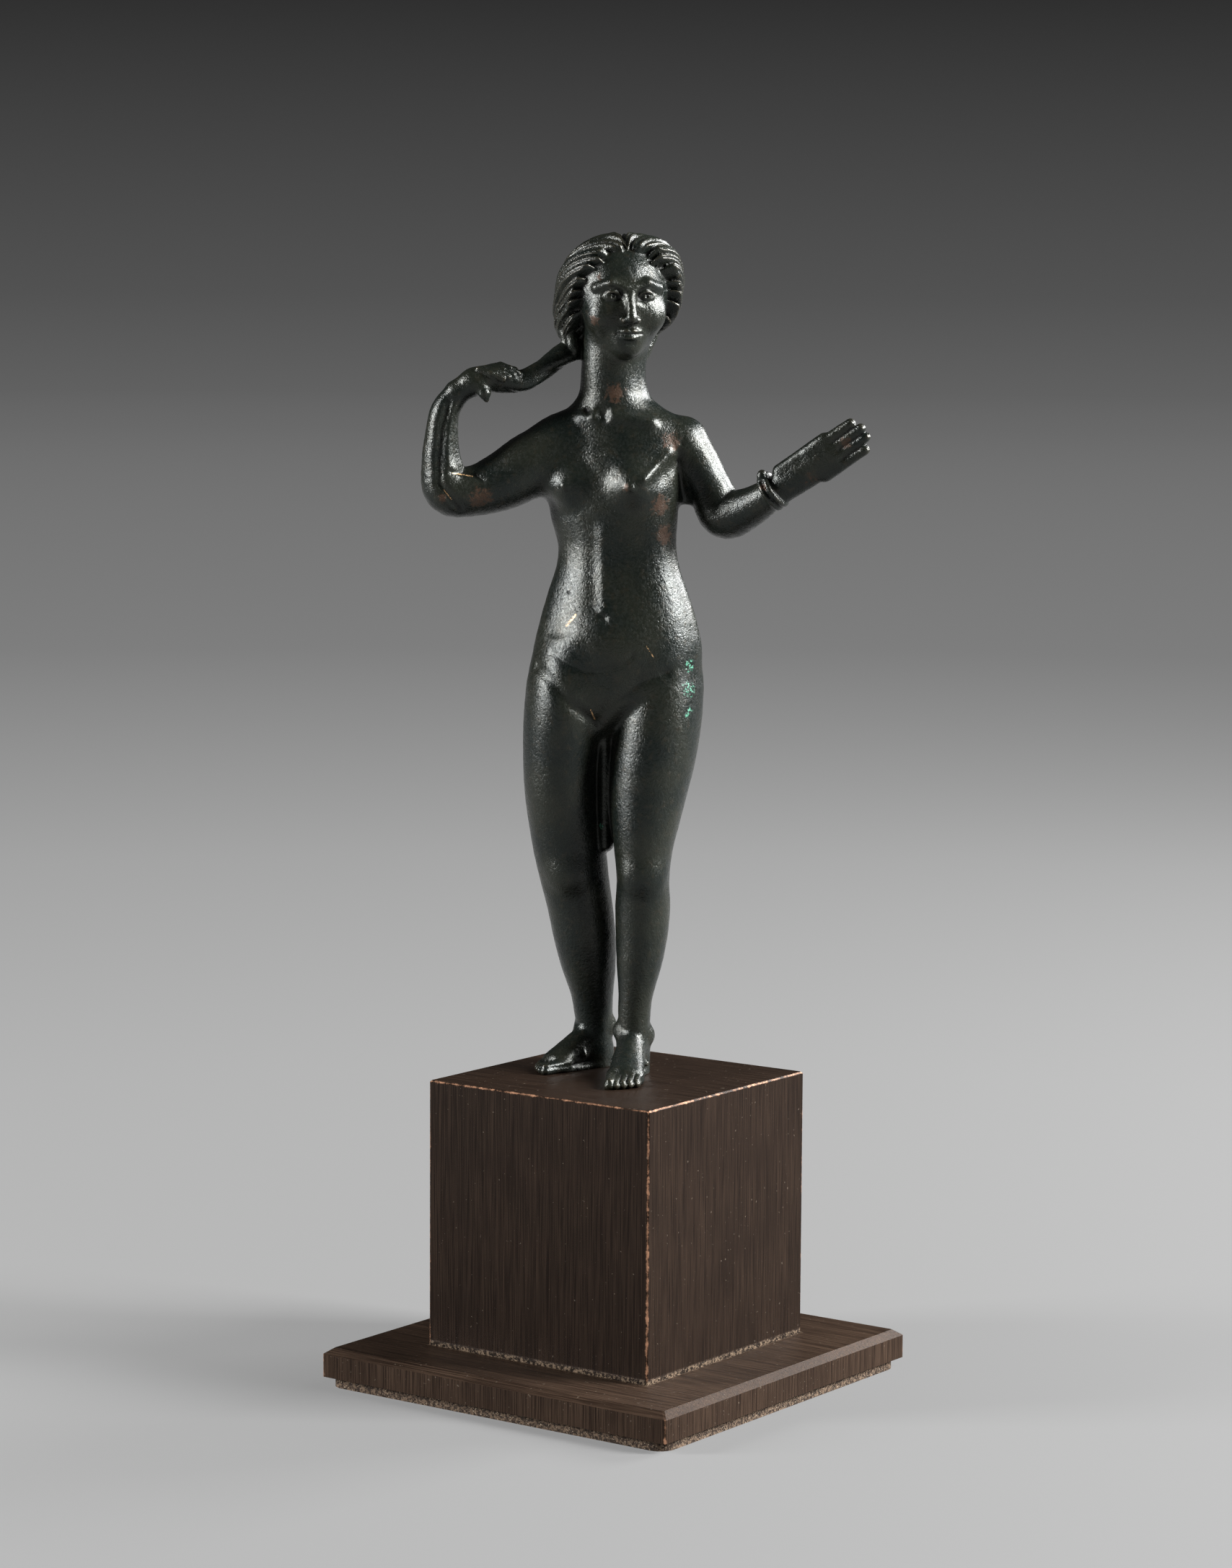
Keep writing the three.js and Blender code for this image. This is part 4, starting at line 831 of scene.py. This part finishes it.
def sampled(field, axes):
    """The field on a lattice: solved near the surface, block by block, and rough elsewhere."""
    blocks = [len(axis) // BLOCK for axis in axes]
    radius = BLOCK * LATTICE_STEP
    cut = [axis.reshape(-1, BLOCK) for axis in axes]
    grid = np.meshgrid(*[c.mean(1) for c in cut], indexing="ij")
    far = field_in_parts(field, [g.ravel().astype(np.float32) for g in grid])
    value = np.empty((blocks[0], BLOCK, blocks[1], BLOCK, blocks[2], BLOCK), np.float32)
    value[:] = far.reshape(blocks[0], 1, blocks[1], 1, blocks[2], 1)
    near = np.argwhere(np.abs(far.reshape(blocks)) < radius)

    def solve(chosen):
        x, y, z = [c[chosen[:, i]].astype(np.float32) for i, c in enumerate(cut)]
        x, y, z = np.broadcast_arrays(x[:, :, None, None], y[:, None, :, None], z[:, None, None, :])
        solved = field(x.ravel(), y.ravel(), z.ravel()).reshape(x.shape)
        value[chosen[:, 0], :, chosen[:, 1], :, chosen[:, 2], :] = solved

    near = near[np.argsort(near[:, 2], kind="stable")]
    with ThreadPoolExecutor(4) as pool:
        list(pool.map(solve, np.array_split(near, max(1, len(near) // 60))))
    return value.reshape([n * BLOCK for n in blocks])


def field_in_parts(field, points, part=60000):
    cuts = range(part, len(points[0]), part)
    parts = zip(*[np.split(p, list(cuts)) for p in points])
    with ThreadPoolExecutor(4) as pool:
        return np.concatenate(list(pool.map(lambda p: field(*p), parts)))


CORNERS = [(n & 1, (n >> 1) & 1, (n >> 2) & 1) for n in range(8)]
CELL_EDGES = [(a, a | bit) for a in range(8) for bit in (1, 2, 4) if not a & bit]


def hangs_together(pattern):
    """Whether the corners of one kind hang together along the cell's edges."""
    members = [corner for corner in range(8) if pattern >> corner & 1]
    reached = members[:1]
    for corner in reached:
        beside = [corner ^ bit for bit in (1, 2, 4)]
        reached += [other for other in beside if other in members and other not in reached]
    return len(reached) == len(members)


TANGLED = np.array([not hangs_together(n) or not hangs_together(255 - n) for n in range(256)])


def cell_patterns(inside):
    nx, ny, nz = inside.shape
    pattern = np.zeros((nx - 1, ny - 1, nz - 1), np.uint8)
    for n, (i, j, k) in enumerate(CORNERS):
        pattern |= inside[i:nx - 1 + i, j:ny - 1 + j, k:nz - 1 + k].astype(np.uint8) << n
    return pattern


def corner_values(value, cells):
    return np.stack([value[cells[:, 0] + i, cells[:, 1] + j, cells[:, 2] + k] for i, j, k in CORNERS])


def untangled(value):
    """Fills the nearest corner of each cell where two sheets would meet in one vertex."""
    pattern = cell_patterns(value < 0)
    cells = np.argwhere(TANGLED[pattern])
    for _ in range(UNTANGLE_ROUNDS):
        corners = corner_values(value, cells)
        nearest = np.where(corners < 0, 1e3, corners).argmin(0)
        place = cells + np.array(CORNERS)[nearest]
        value[place[:, 0], place[:, 1], place[:, 2]] = -1e-3
        around = (place[:, None, :] - np.array(CORNERS)[None]).reshape(-1, 3)
        around = np.unique(around, axis=0)
        signs = corner_values(value, around) < 0
        codes = sum(sign.astype(int) << n for n, sign in enumerate(signs))
        cells = around[TANGLED[codes]]
    return cell_patterns(value < 0)


def settled_on(field, points):
    """Moves the points that lie off the field's skin onto it."""

    def value_at(places):
        return field_in_parts(field, list(places.T.astype(np.float32)))

    for _ in range(SETTLE_ROUNDS):
        value = value_at(points)
        off = np.flatnonzero(np.abs(value) > SETTLE_OFF)
        if not len(off):
            break
        here = points[off]
        rise = [value_at(here + way) - value_at(here - way) for way in np.eye(3) * SLOPE_REACH]
        slope = np.stack(rise, 1) / (2 * SLOPE_REACH)
        step = value[off, None] * slope / np.maximum((slope * slope).sum(1), 0.2)[:, None]
        length = np.maximum(np.linalg.norm(step, axis=1), 1e-9)
        points[off] -= step * np.minimum(1, SETTLE_STEP / length)[:, None]
    return points


def skin_of(field, axes):
    value = sampled(field, axes)
    pattern = untangled(value)
    shape = pattern.shape
    flat = np.flatnonzero((pattern != 0) & (pattern != 255))
    cells = np.stack(np.unravel_index(flat, shape), 1)
    corners = corner_values(value, cells)
    total = np.zeros((len(cells), 3))
    crossings = np.zeros(len(cells))
    for a, b in CELL_EDGES:
        crossed = (corners[a] < 0) != (corners[b] < 0)
        t = np.where(crossed, corners[a] / np.where(crossed, corners[a] - corners[b], 1), 0)
        start, way = np.array(CORNERS[a]), np.array(CORNERS[b]) - np.array(CORNERS[a])
        total += crossed[:, None] * (start + t[:, None] * way)
        crossings += crossed
    index = cells + total / crossings[:, None]
    points = np.stack([np.interp(index[:, i], np.arange(len(axis)), axis) for i, axis in enumerate(axes)], 1)
    inside = value < 0
    quads = []
    for axis in range(3):
        one = np.roll((1, 0, 0), axis)
        two, three = np.roll((0, 1, 0), axis), np.roll((0, 0, 1), axis)
        here = inside[tuple(slice(0, n - s) for n, s in zip(inside.shape, one))]
        there = inside[tuple(slice(s, None) for s in one)]
        edges = np.argwhere(here != there)
        edges = edges[(edges > 0).all(1) & (edges < np.array(shape)).all(1)]
        starts_inside = inside[edges[:, 0], edges[:, 1], edges[:, 2]]
        ring = [edges - two - three, edges - three, edges, edges - two]
        index = [np.searchsorted(flat, np.ravel_multi_index(r.T, shape)) for r in ring]
        index = np.stack(index, 1)
        index[~starts_inside] = index[~starts_inside][:, ::-1]
        quads.append(index)
    return settled_on(field, points), np.concatenate(quads)


# Mesh making.


def mesh_object(name, points, faces):
    """An object of points in metres, and of triangles or quads."""
    mesh = bpy.data.meshes.new(name)
    faces = np.asarray(faces)
    mesh.vertices.add(len(points))
    mesh.vertices.foreach_set("co", np.asarray(points, np.float32).ravel())
    mesh.loops.add(faces.size)
    mesh.loops.foreach_set("vertex_index", faces.ravel().astype(np.int32))
    mesh.polygons.add(len(faces))
    mesh.polygons.foreach_set("loop_start", np.arange(0, faces.size, faces.shape[1], dtype=np.int32))
    mesh.update(calc_edges=True)
    mesh.validate()
    made = bpy.data.objects.new(name, mesh)
    bpy.context.scene.collection.objects.link(made)
    return made


def thin(piece, triangles):
    """Thins a mesh to a count of triangles, for good."""
    modifier = piece.modifiers.new("thin", "DECIMATE")
    modifier.ratio = min(1.0, triangles / (2 * len(piece.data.polygons)))
    piece.data = bpy.data.meshes.new_from_object(piece.evaluated_get(bpy.context.evaluated_depsgraph_get()))
    piece.modifiers.clear()


def coordinates(mesh):
    points = np.empty(len(mesh.vertices) * 3, np.float32)
    mesh.vertices.foreach_get("co", points)
    return points.reshape(-1, 3).astype(float)


def mark_hollows(mesh, points):
    """Marks each vertex from -1 in a hollow to 1 on a ridge, in the attribute relief."""
    edges = np.empty(len(mesh.edges) * 2, np.int32)
    mesh.edges.foreach_get("vertices", edges)
    ends = np.concatenate([edges.reshape(-1, 2), edges.reshape(-1, 2)[:, ::-1]])
    count = np.maximum(np.bincount(ends[:, 0], minlength=len(points)), 1)
    normals = np.empty(len(points) * 3, np.float32)
    mesh.vertices.foreach_get("normal", normals)
    normals = normals.reshape(-1, 3)
    way = points[ends[:, 1]] - points[ends[:, 0]]
    bend = -(way * normals[ends[:, 0]]).sum(1) / np.maximum((way * way).sum(1), 1e-12)
    value = np.bincount(ends[:, 0], bend, len(points)) / count
    for _ in range(RELIEF_SMOOTHING):
        value = (value + np.bincount(ends[:, 0], value[ends[:, 1]], len(points)) / count) / 2
    marks = np.clip(value / RELIEF_SCALE, -1, 1).astype(np.float32)
    mesh.attributes.new("relief", "FLOAT", "POINT").data.foreach_set("value", marks)


def figure_object():
    axes = [lattice_axis(*places) for places in (LATTICE_X, LATTICE_Y, LATTICE_Z)]
    points, quads = skin_of(figure_field(), axes)
    c, s = cos(TURN_ON_CUBE), sin(TURN_ON_CUBE)
    x, y, z = points.T
    placed = np.stack([x * c - y * s, x * s + y * c, z + CUBE_TOP], 1) * MM
    figure = mesh_object("venus_bronze", placed, quads)
    thin(figure, FIGURE_TRIANGLES)
    settled = coordinates(figure.data)
    settled[:, 2] = np.maximum(settled[:, 2], CUBE_TOP * MM)
    figure.data.vertices.foreach_set("co", settled.astype(np.float32).ravel())
    figure.data.update()
    mark_hollows(figure.data, settled)
    figure.data.shade_smooth()
    return figure


figure = figure_object()
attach(figure, "root")
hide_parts("venus_figure")


# Materials.


def node(tree, kind, inputs=None, **settings):
    made = tree.nodes.new(kind)
    for name, value in settings.items():
        setattr(made, name, value)
    for key, value in (inputs or {}).items():
        if isinstance(value, bpy.types.NodeSocket):
            tree.links.new(value, made.inputs[key])
        else:
            made.inputs[key].default_value = value
    return made


def calc(tree, operation, a, b=0.0, clamp=False):
    return node(tree, "ShaderNodeMath", {0: a, 1: b}, operation=operation, use_clamp=clamp).outputs[0]


def vector_calc(tree, operation, inputs):
    return node(tree, "ShaderNodeVectorMath", inputs, operation=operation)


def blended(tree, factor, a, b):
    made = node(tree, "ShaderNodeMix", {0: factor, 6: a, 7: b}, data_type="RGBA")
    return made.outputs[2]


def ranged(tree, value, low, high, to_low=0.0, to_high=1.0):
    inputs = {"Value": value, "From Min": low, "From Max": high, "To Min": to_low, "To Max": to_high}
    return node(tree, "ShaderNodeMapRange", inputs, interpolation_type="SMOOTHSTEP").outputs[0]


def place_of(tree, scale=(1, 1, 1)):
    source = node(tree, "ShaderNodeTexCoord").outputs["Object"]
    return node(tree, "ShaderNodeMapping", {"Vector": source, "Scale": scale}).outputs[0]


def noise(tree, scale, detail=2.0, roughness=0.5, place=None):
    inputs = {"Vector": place or place_of(tree), "Scale": scale, "Detail": detail, "Roughness": roughness}
    return node(tree, "ShaderNodeTexNoise", inputs).outputs[0]


def started(name):
    material = bpy.data.materials.new(name)
    material.use_nodes = True
    material.node_tree.nodes.clear()
    return material, material.node_tree


def finished(tree, inputs, bumps):
    """Joins a surface and its bumps, each a height with a depth in metres, to the output."""
    normal = None
    for height, depth in bumps:
        bump_inputs = {"Height": height, "Distance": depth, "Strength": 1.0}
        if normal:
            bump_inputs["Normal"] = normal
        normal = node(tree, "ShaderNodeBump", bump_inputs).outputs[0]
    shader = node(tree, "ShaderNodeBsdfPrincipled", {**inputs, "Normal": normal})
    node(tree, "ShaderNodeOutputMaterial", {"Surface": shader.outputs[0]})


def in_world(place):
    """A place in the figure's frame, in millimetres, seen in the row frame, in metres."""
    x, y, z = place
    c, s = cos(TURN_ON_CUBE), sin(TURN_ON_CUBE)
    return ((x * c - y * s) * MM, (x * s + y * c) * MM, (z + CUBE_TOP) * MM)


def spot(tree, place, centre, radius, ragged):
    """A ragged spot: 1 at its centre and 0 outside it."""
    distance = vector_calc(tree, "DISTANCE", {0: place, 1: in_world(centre)}).outputs["Value"]
    near = ranged(tree, distance, 0, radius * MM * 1.5, 1, 0)
    return ranged(tree, calc(tree, "ADD", near, calc(tree, "MULTIPLY", ragged, 1.6)), 0.6, 0.9)


BRONZE_DARK, BRONZE_PALE = (0.006, 0.009, 0.0075, 1), (0.014, 0.016, 0.0115, 1)
BRONZE_MOTTLE, BRONZE_RUBBED = (0.024, 0.021, 0.014, 1), (0.06, 0.05, 0.034, 1)
BRONZE_CRUST = (0.006, 0.006, 0.005, 1)
BROWN, GREEN, GOLD = (0.06, 0.027, 0.013, 1), (0.05, 0.2, 0.13, 1), (0.85, 0.52, 0.26, 1)
# Patches of another colour on the bronze: centre and radius in the figure's frame, in millimetres.
BROWN_SPOTS = [
    ((-4.3, -5, 142.1), 1.6),
    ((-4.7, -4.6, 134.4), 1.7),
    ((-10.1, -6.4, 105.3), 2),
    ((1, -7, 105.4), 1.3),
    ((8.2, -4, 96.8), 3.6),
    ((6.7, -4, 102.2), 3.2),
    ((8.6, -2, 113), 3),
    ((-24.6, -1.6, 103.2), 3.4),
    ((-31.4, -1.6, 103.2), 1.4),
    ((-31.6, -2.4, 108), 1.1),
    ((33, -9.6, 108), 2.4),
    ((38.6, -13, 113.6), 1.8),
    ((24.8, -9.2, 105.6), 1.1),
    ((-1.2, -1.4, 121.6), 3),
]
GREEN_SPOTS = [
    ((12.2, -3.4, 74), 1.7),
    ((12, -3.4, 69.8), 2.2),
    ((11.6, -3.4, 65.6), 1.8),
    ((-3.4, 1, 44.9), 1.2),
]
# Bright scratches: two ends on the skin, in the figure's frame, and half a width.
GOLD_SCRATCHES = [
    ((-8.7, -6, 88.9), (-7.9, -6, 90.4), 0.13),
    ((-9.5, -5.6, 80.9), (-7.9, -6, 82.8), 0.22),
    ((4.6, -6, 77.6), (5.9, -5.6, 75.6), 0.1),
    ((-5.1, -3.4, 66.1), (-4.4, -3.2, 64.3), 0.15),
    ((-29.6, -2.6, 107.5), (-26.2, -2.2, 106.9), 0.12),
    ((-31.2, -2.2, 104.6), (-29.8, -2, 102.9), 0.12),
]


def scratch(tree, place, start, end, half_width):
    """A thin line between two places, 1 along it and 0 beside it, whatever its depth."""
    a, b = Vector(in_world(start)), Vector(in_world(end))
    way = b - a
    forward = Vector(in_world((0, 1, 0))) - Vector(in_world((0, 0, 0)))
    forward.normalize()
    line = way - forward * way.dot(forward)
    from_start = vector_calc(tree, "SUBTRACT", {0: place, 1: tuple(a)}).outputs[0]
    depth = vector_calc(tree, "DOT_PRODUCT", {0: from_start, 1: tuple(forward)}).outputs["Value"]
    depth_way = vector_calc(tree, "SCALE", {0: tuple(forward), "Scale": depth}).outputs[0]
    flat = vector_calc(tree, "SUBTRACT", {0: from_start, 1: depth_way}).outputs[0]
    share = vector_calc(tree, "DOT_PRODUCT", {0: flat, 1: tuple(line / line.length_squared)}).outputs["Value"]
    share = calc(tree, "MULTIPLY", share, 1.0, clamp=True)
    nearest = vector_calc(tree, "SCALE", {0: tuple(line), "Scale": share}).outputs[0]
    gap = vector_calc(tree, "DISTANCE", {0: flat, 1: nearest}).outputs["Value"]
    near = ranged(tree, gap, half_width * MM * 0.5, half_width * MM, 1, 0)
    shallow = ranged(tree, calc(tree, "ABSOLUTE", depth), 2 * MM, 3 * MM, 1, 0)
    return calc(tree, "MULTIPLY", near, shallow)


def greatest(tree, values):
    top = values[0]
    for value in values[1:]:
        top = calc(tree, "MAXIMUM", top, value)
    return top


def bronze_material():
    material, tree = started("patinated_bronze")
    place = place_of(tree)
    fine = noise(tree, 4200, 2, 0.6)
    grain = noise(tree, 2100, 2, 0.6)
    medium = noise(tree, 900, 3)
    broad = noise(tree, 130, 3)
    relief = node(tree, "ShaderNodeAttribute", attribute_name="relief").outputs["Fac"]
    ragged = calc(tree, "SUBTRACT", noise(tree, 1300, 4, 0.7), 0.5)
    brown = greatest(tree, [spot(tree, place, *row, ragged) for row in BROWN_SPOTS])
    green = greatest(tree, [spot(tree, place, *row, ragged) for row in GREEN_SPOTS])
    gold = greatest(tree, [scratch(tree, place, *row) for row in GOLD_SCRATCHES])
    gold = calc(tree, "MULTIPLY", gold, ranged(tree, fine, 0.42, 0.56, 0, 0.75))
    green = calc(tree, "MULTIPLY", green, ranged(tree, noise(tree, 2600, 2), 0.5, 0.6))
    crusted = calc(tree, "MULTIPLY", ranged(tree, relief, -0.1, -0.7), 0.8)
    worn = ranged(tree, relief, 0.35, 0.9)
    colour = blended(tree, ranged(tree, broad, 0.35, 0.65), BRONZE_DARK, BRONZE_PALE)
    colour = blended(tree, ranged(tree, medium, 0.52, 0.75, 0, 0.5), colour, BRONZE_MOTTLE)
    colour = blended(tree, calc(tree, "MULTIPLY", worn, 0.35), colour, BRONZE_RUBBED)
    colour = blended(tree, crusted, colour, BRONZE_CRUST)
    colour = blended(tree, calc(tree, "MULTIPLY", brown, 0.6), colour, BROWN)
    colour = blended(tree, green, colour, GREEN)
    colour = blended(tree, gold, colour, GOLD)
    rough = ranged(tree, grain, 0.3, 0.7, 0.2, 0.36)
    rough = calc(tree, "SUBTRACT", rough, calc(tree, "MULTIPLY", worn, 0.06))
    rough = calc(tree, "ADD", rough, calc(tree, "MULTIPLY", crusted, 0.3))
    stained = calc(tree, "MULTIPLY", calc(tree, "ADD", brown, green), 0.16)
    rough = calc(tree, "ADD", rough, stained, clamp=True)
    metallic = calc(tree, "MAXIMUM", calc(tree, "SUBTRACT", 0.4, calc(tree, "MULTIPLY", green, 0.35)), gold)
    surface = {"Base Color": colour, "Metallic": metallic, "Roughness": rough, "Specular IOR Level": 0.5}
    finished(tree, surface, [(medium, 0.00005), (grain, 0.00007), (fine, 0.00004)])
    return material


figure.data.materials.clear()
figure.data.materials.append(bronze_material())


def depth_from(tree, coordinate, limit):
    """How far a place lies within plus or minus a limit."""
    return calc(tree, "SUBTRACT", limit, calc(tree, "ABSOLUTE", coordinate))


def edge_wear(tree, half_side, top, reach):
    """1 on the edges of a block where two of its faces meet, 0 away from them."""
    split = node(tree, "ShaderNodeSeparateXYZ", {0: place_of(tree)}).outputs
    across, back = (depth_from(tree, split[i], half_side * MM) for i in (0, 1))
    down = calc(tree, "SUBTRACT", top * MM, split[2])
    least, most = calc(tree, "MINIMUM", across, back), calc(tree, "MAXIMUM", across, back)
    middle = calc(tree, "MAXIMUM", least, calc(tree, "MINIMUM", most, down))
    ragged = calc(tree, "MULTIPLY", calc(tree, "SUBTRACT", noise(tree, 700, 3, 0.7), 0.5), reach * MM * 3)
    return ranged(tree, calc(tree, "ADD", middle, ragged), 0, reach * MM, 1, 0), split


def brushed_metal(name, dark, pale, half_side, top):
    """Dark metal with streaks of brushing down its sides and across its top, worn bright at the
    edges, with crumbs along the foot of the cube."""
    material, tree = started(name)
    wear, split = edge_wear(tree, half_side, top, 0.35)
    level = calc(tree, "ABSOLUTE", node(tree, "ShaderNodeSeparateXYZ", {
        0: node(tree, "ShaderNodeNewGeometry").outputs["Normal"]}).outputs[2])
    on_top = ranged(tree, level, 0.4, 0.7)
    upright = noise(tree, 1, 4, 0.65, place_of(tree, (5200, 5200, 70)))
    lying = noise(tree, 1, 4, 0.65, place_of(tree, (70, 5200, 5200)))
    fade = calc(tree, "SUBTRACT", 1.0, on_top)
    streaks = calc(tree, "ADD", calc(tree, "MULTIPLY", upright, fade), calc(tree, "MULTIPLY", lying, on_top))
    broad = noise(tree, 90, 3)
    base = blended(tree, ranged(tree, streaks, 0.36, 0.64), dark, pale)
    base = blended(tree, ranged(tree, broad, 0.35, 0.7, 0, 0.35), base, dark)
    base = blended(tree, calc(tree, "MULTIPLY", wear, 0.8), base, EDGE_COPPER)
    flecks = ranged(tree, noise(tree, 1500, 2, 0.5), 0.7, 0.74)
    base = blended(tree, calc(tree, "MULTIPLY", flecks, 0.4), base, FLECKS)
    outward = calc(tree, "MAXIMUM", calc(tree, "ABSOLUTE", split[0]), calc(tree, "ABSOLUTE", split[1]))
    beside = ranged(tree, outward, (CUBE_SIDE / 2 - 0.4) * MM, (CUBE_SIDE / 2 + 0.6) * MM, 1, 0)
    low = ranged(tree, split[2], (PLATE_TOP + 0.4) * MM, (PLATE_TOP + 1.1) * MM, 1, 0)
    foot = calc(tree, "MULTIPLY", beside, low)
    crumbs = noise(tree, 1900, 3, 0.7)
    speckled = blended(tree, ranged(tree, crumbs, 0.45, 0.6), CRUMBS_DARK, CRUMBS_PALE)
    base = blended(tree, foot, base, speckled)
    rough = ranged(tree, streaks, 0.3, 0.7, 0.38, 0.5)
    rough = calc(tree, "ADD", rough, calc(tree, "MULTIPLY", foot, 0.4), clamp=True)
    surface = {"Base Color": base, "Metallic": 0.2, "Roughness": rough, "Specular IOR Level": 0.06}
    finished(tree, surface, [(streaks, 0.00001), (calc(tree, "MULTIPLY", crumbs, foot), 0.0003)])
    return material


def cork_material():
    material, tree = started("pressed_cork")
    grains = noise(tree, 1900, 3, 0.7)
    crumbs = noise(tree, 3600, 2, 0.6)
    base = blended(tree, ranged(tree, grains, 0.42, 0.62), CORK_DARK, CORK_BROWN)
    base = blended(tree, ranged(tree, crumbs, 0.62, 0.7, 0, 0.8), base, CORK_PALE)
    surface = {"Base Color": base, "Roughness": 0.9, "Specular IOR Level": 0.2}
    finished(tree, surface, [(grains, 0.0002), (crumbs, 0.0001)])
    return material


def refinish(node_name, material):
    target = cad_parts[node_name]
    target.data.materials.clear()
    target.data.materials.append(material)


CORK_DARK, CORK_BROWN, CORK_PALE = (0.02, 0.013, 0.009, 1), (0.11, 0.075, 0.05, 1), (0.42, 0.34, 0.25, 1)
CUBE_DARK, CUBE_PALE = (0.0075, 0.0044, 0.003, 1), (0.022, 0.0135, 0.009, 1)
PLATE_DARK, PLATE_PALE = (0.012, 0.007, 0.0047, 1), (0.048, 0.03, 0.02, 1)
EDGE_COPPER = (0.38, 0.2, 0.12, 1)
FLECKS = (0.16, 0.13, 0.1, 1)
CRUMBS_DARK, CRUMBS_PALE = (0.012, 0.009, 0.007, 1), (0.2, 0.145, 0.1, 1)
refinish("cube_plinth", brushed_metal("brushed_cube", CUBE_DARK, CUBE_PALE, CUBE_SIDE / 2, CUBE_TOP))
refinish("base_plate", brushed_metal("brushed_plate", PLATE_DARK, PLATE_PALE, PLATE_SIDE / 2, PLATE_TOP))
refinish("cork_pad", cork_material())


# Floor, backdrop, lights and camera.

FLOOR_RADIUS = 8.0
FLOOR_GREY = 0.08
# Painted light: glow of the floor, standing in for studio light, by distance from the object, as a share of
# its radius.
FLOOR_GLOW = [(0.0, 0.215), (0.04, 0.255), (0.09, 0.265), (0.2, 0.19), (0.7, 0.136), (1.0, 0.116)]


def floor_object():
    bpy.ops.mesh.primitive_circle_add(vertices=128, radius=FLOOR_RADIUS, fill_type="NGON")
    floor = bpy.context.object
    floor.name = "floor"
    material, tree = started("pale_floor")
    distance = vector_calc(tree, "LENGTH", {0: place_of(tree)}).outputs["Value"]
    ramp = node(tree, "ShaderNodeValToRGB", {"Fac": calc(tree, "DIVIDE", distance, FLOOR_RADIUS)})
    while len(ramp.color_ramp.elements) < len(FLOOR_GLOW):
        ramp.color_ramp.elements.new(0.5)
    for element, (position, grey) in zip(ramp.color_ramp.elements, FLOOR_GLOW):
        element.position = position
        element.color = (grey, grey, grey, 1)
    # Painted light: the floor glows through the ramp above, brighter near the object and dimmer far off, on
    # top of its own pale grey.
    surface = {"Base Color": (FLOOR_GREY,) * 3 + (1,), "Roughness": 0.9, "Emission Color": ramp.outputs[0],
               "Emission Strength": 1.0, "Specular IOR Level": 0.0}
    finished(tree, surface, [(noise(tree, 400, 2), 0.00001)])
    floor.data.materials.append(material)
    return floor


floor_object()


LIGHTS_AIM = 0.13
HORIZON_GREY, LOW_GREY, HIGH_GREY = 0.118, 0.084, 0.028


def softbox(name, azimuth, elevation, distance, width, height, power):
    """An area light aimed at the figure. Azimuth is from the viewer, to the viewer's right."""
    right, toward = Vector(CAMERA_RIGHT), -Vector(CAMERA_AHEAD)
    right.z = toward.z = 0
    right.normalize()
    toward.normalize()
    a, e = radians(azimuth), radians(elevation)
    way = (toward * cos(a) + right * sin(a)) * cos(e) + Vector((0, 0, sin(e)))
    light = bpy.data.lights.new(name, "AREA")
    light.shape = "RECTANGLE"
    light.size, light.size_y = width, height
    light.energy = power
    made = bpy.data.objects.new(name, light)
    made.location = Vector((0, 0, LIGHTS_AIM)) + way * distance
    made.rotation_euler = way.to_track_quat("Z", "Y").to_euler()
    bpy.context.scene.collection.objects.link(made)


softbox("left_softbox", -80, 16, 0.75, 0.18, 0.42, 12)
softbox("right_softbox", 76, 28, 0.85, 0.28, 0.42, 32)
softbox("rear_softbox", 122, 22, 0.9, 0.4, 0.3, 13)


def studio_world():
    world = bpy.data.worlds.new("studio")
    world.use_nodes = True
    tree = world.node_tree
    tree.nodes.clear()
    way = node(tree, "ShaderNodeTexCoord").outputs["Generated"]
    height = node(tree, "ShaderNodeSeparateXYZ", {0: way}).outputs[2]
    limits = {"Value": height, "From Min": -0.022, "From Max": 0.07}
    ramp = node(tree, "ShaderNodeValToRGB", {"Fac": node(tree, "ShaderNodeMapRange", limits).outputs[0]})
    ramp.color_ramp.elements[0].color = (HORIZON_GREY,) * 3 + (1,)
    ramp.color_ramp.elements[1].color = (HIGH_GREY,) * 3 + (1,)
    middle = ramp.color_ramp.elements.new(0.25)
    middle.color = (LOW_GREY,) * 3 + (1,)
    background = node(tree, "ShaderNodeBackground", {"Color": ramp.outputs[0], "Strength": 1.0})
    node(tree, "ShaderNodeOutputWorld", {"Surface": background.outputs[0]})
    bpy.context.scene.world = world


def photo_camera():
    camera = bpy.data.cameras.new("camera")
    camera.lens = camera.sensor_width * FOCAL_PIXELS / PHOTO_HEIGHT
    camera.clip_end = 50
    made = bpy.data.objects.new("camera", camera)
    axes = Matrix((CAMERA_RIGHT, -Vector(CAMERA_DOWN), -Vector(CAMERA_AHEAD))).transposed()
    made.matrix_world = Matrix.Translation(CAMERA_PLACE) @ axes.to_4x4()
    bpy.context.scene.collection.objects.link(made)
    bpy.context.scene.camera = made


studio_world()
photo_camera()
bpy.context.scene.view_settings.view_transform = "Standard"
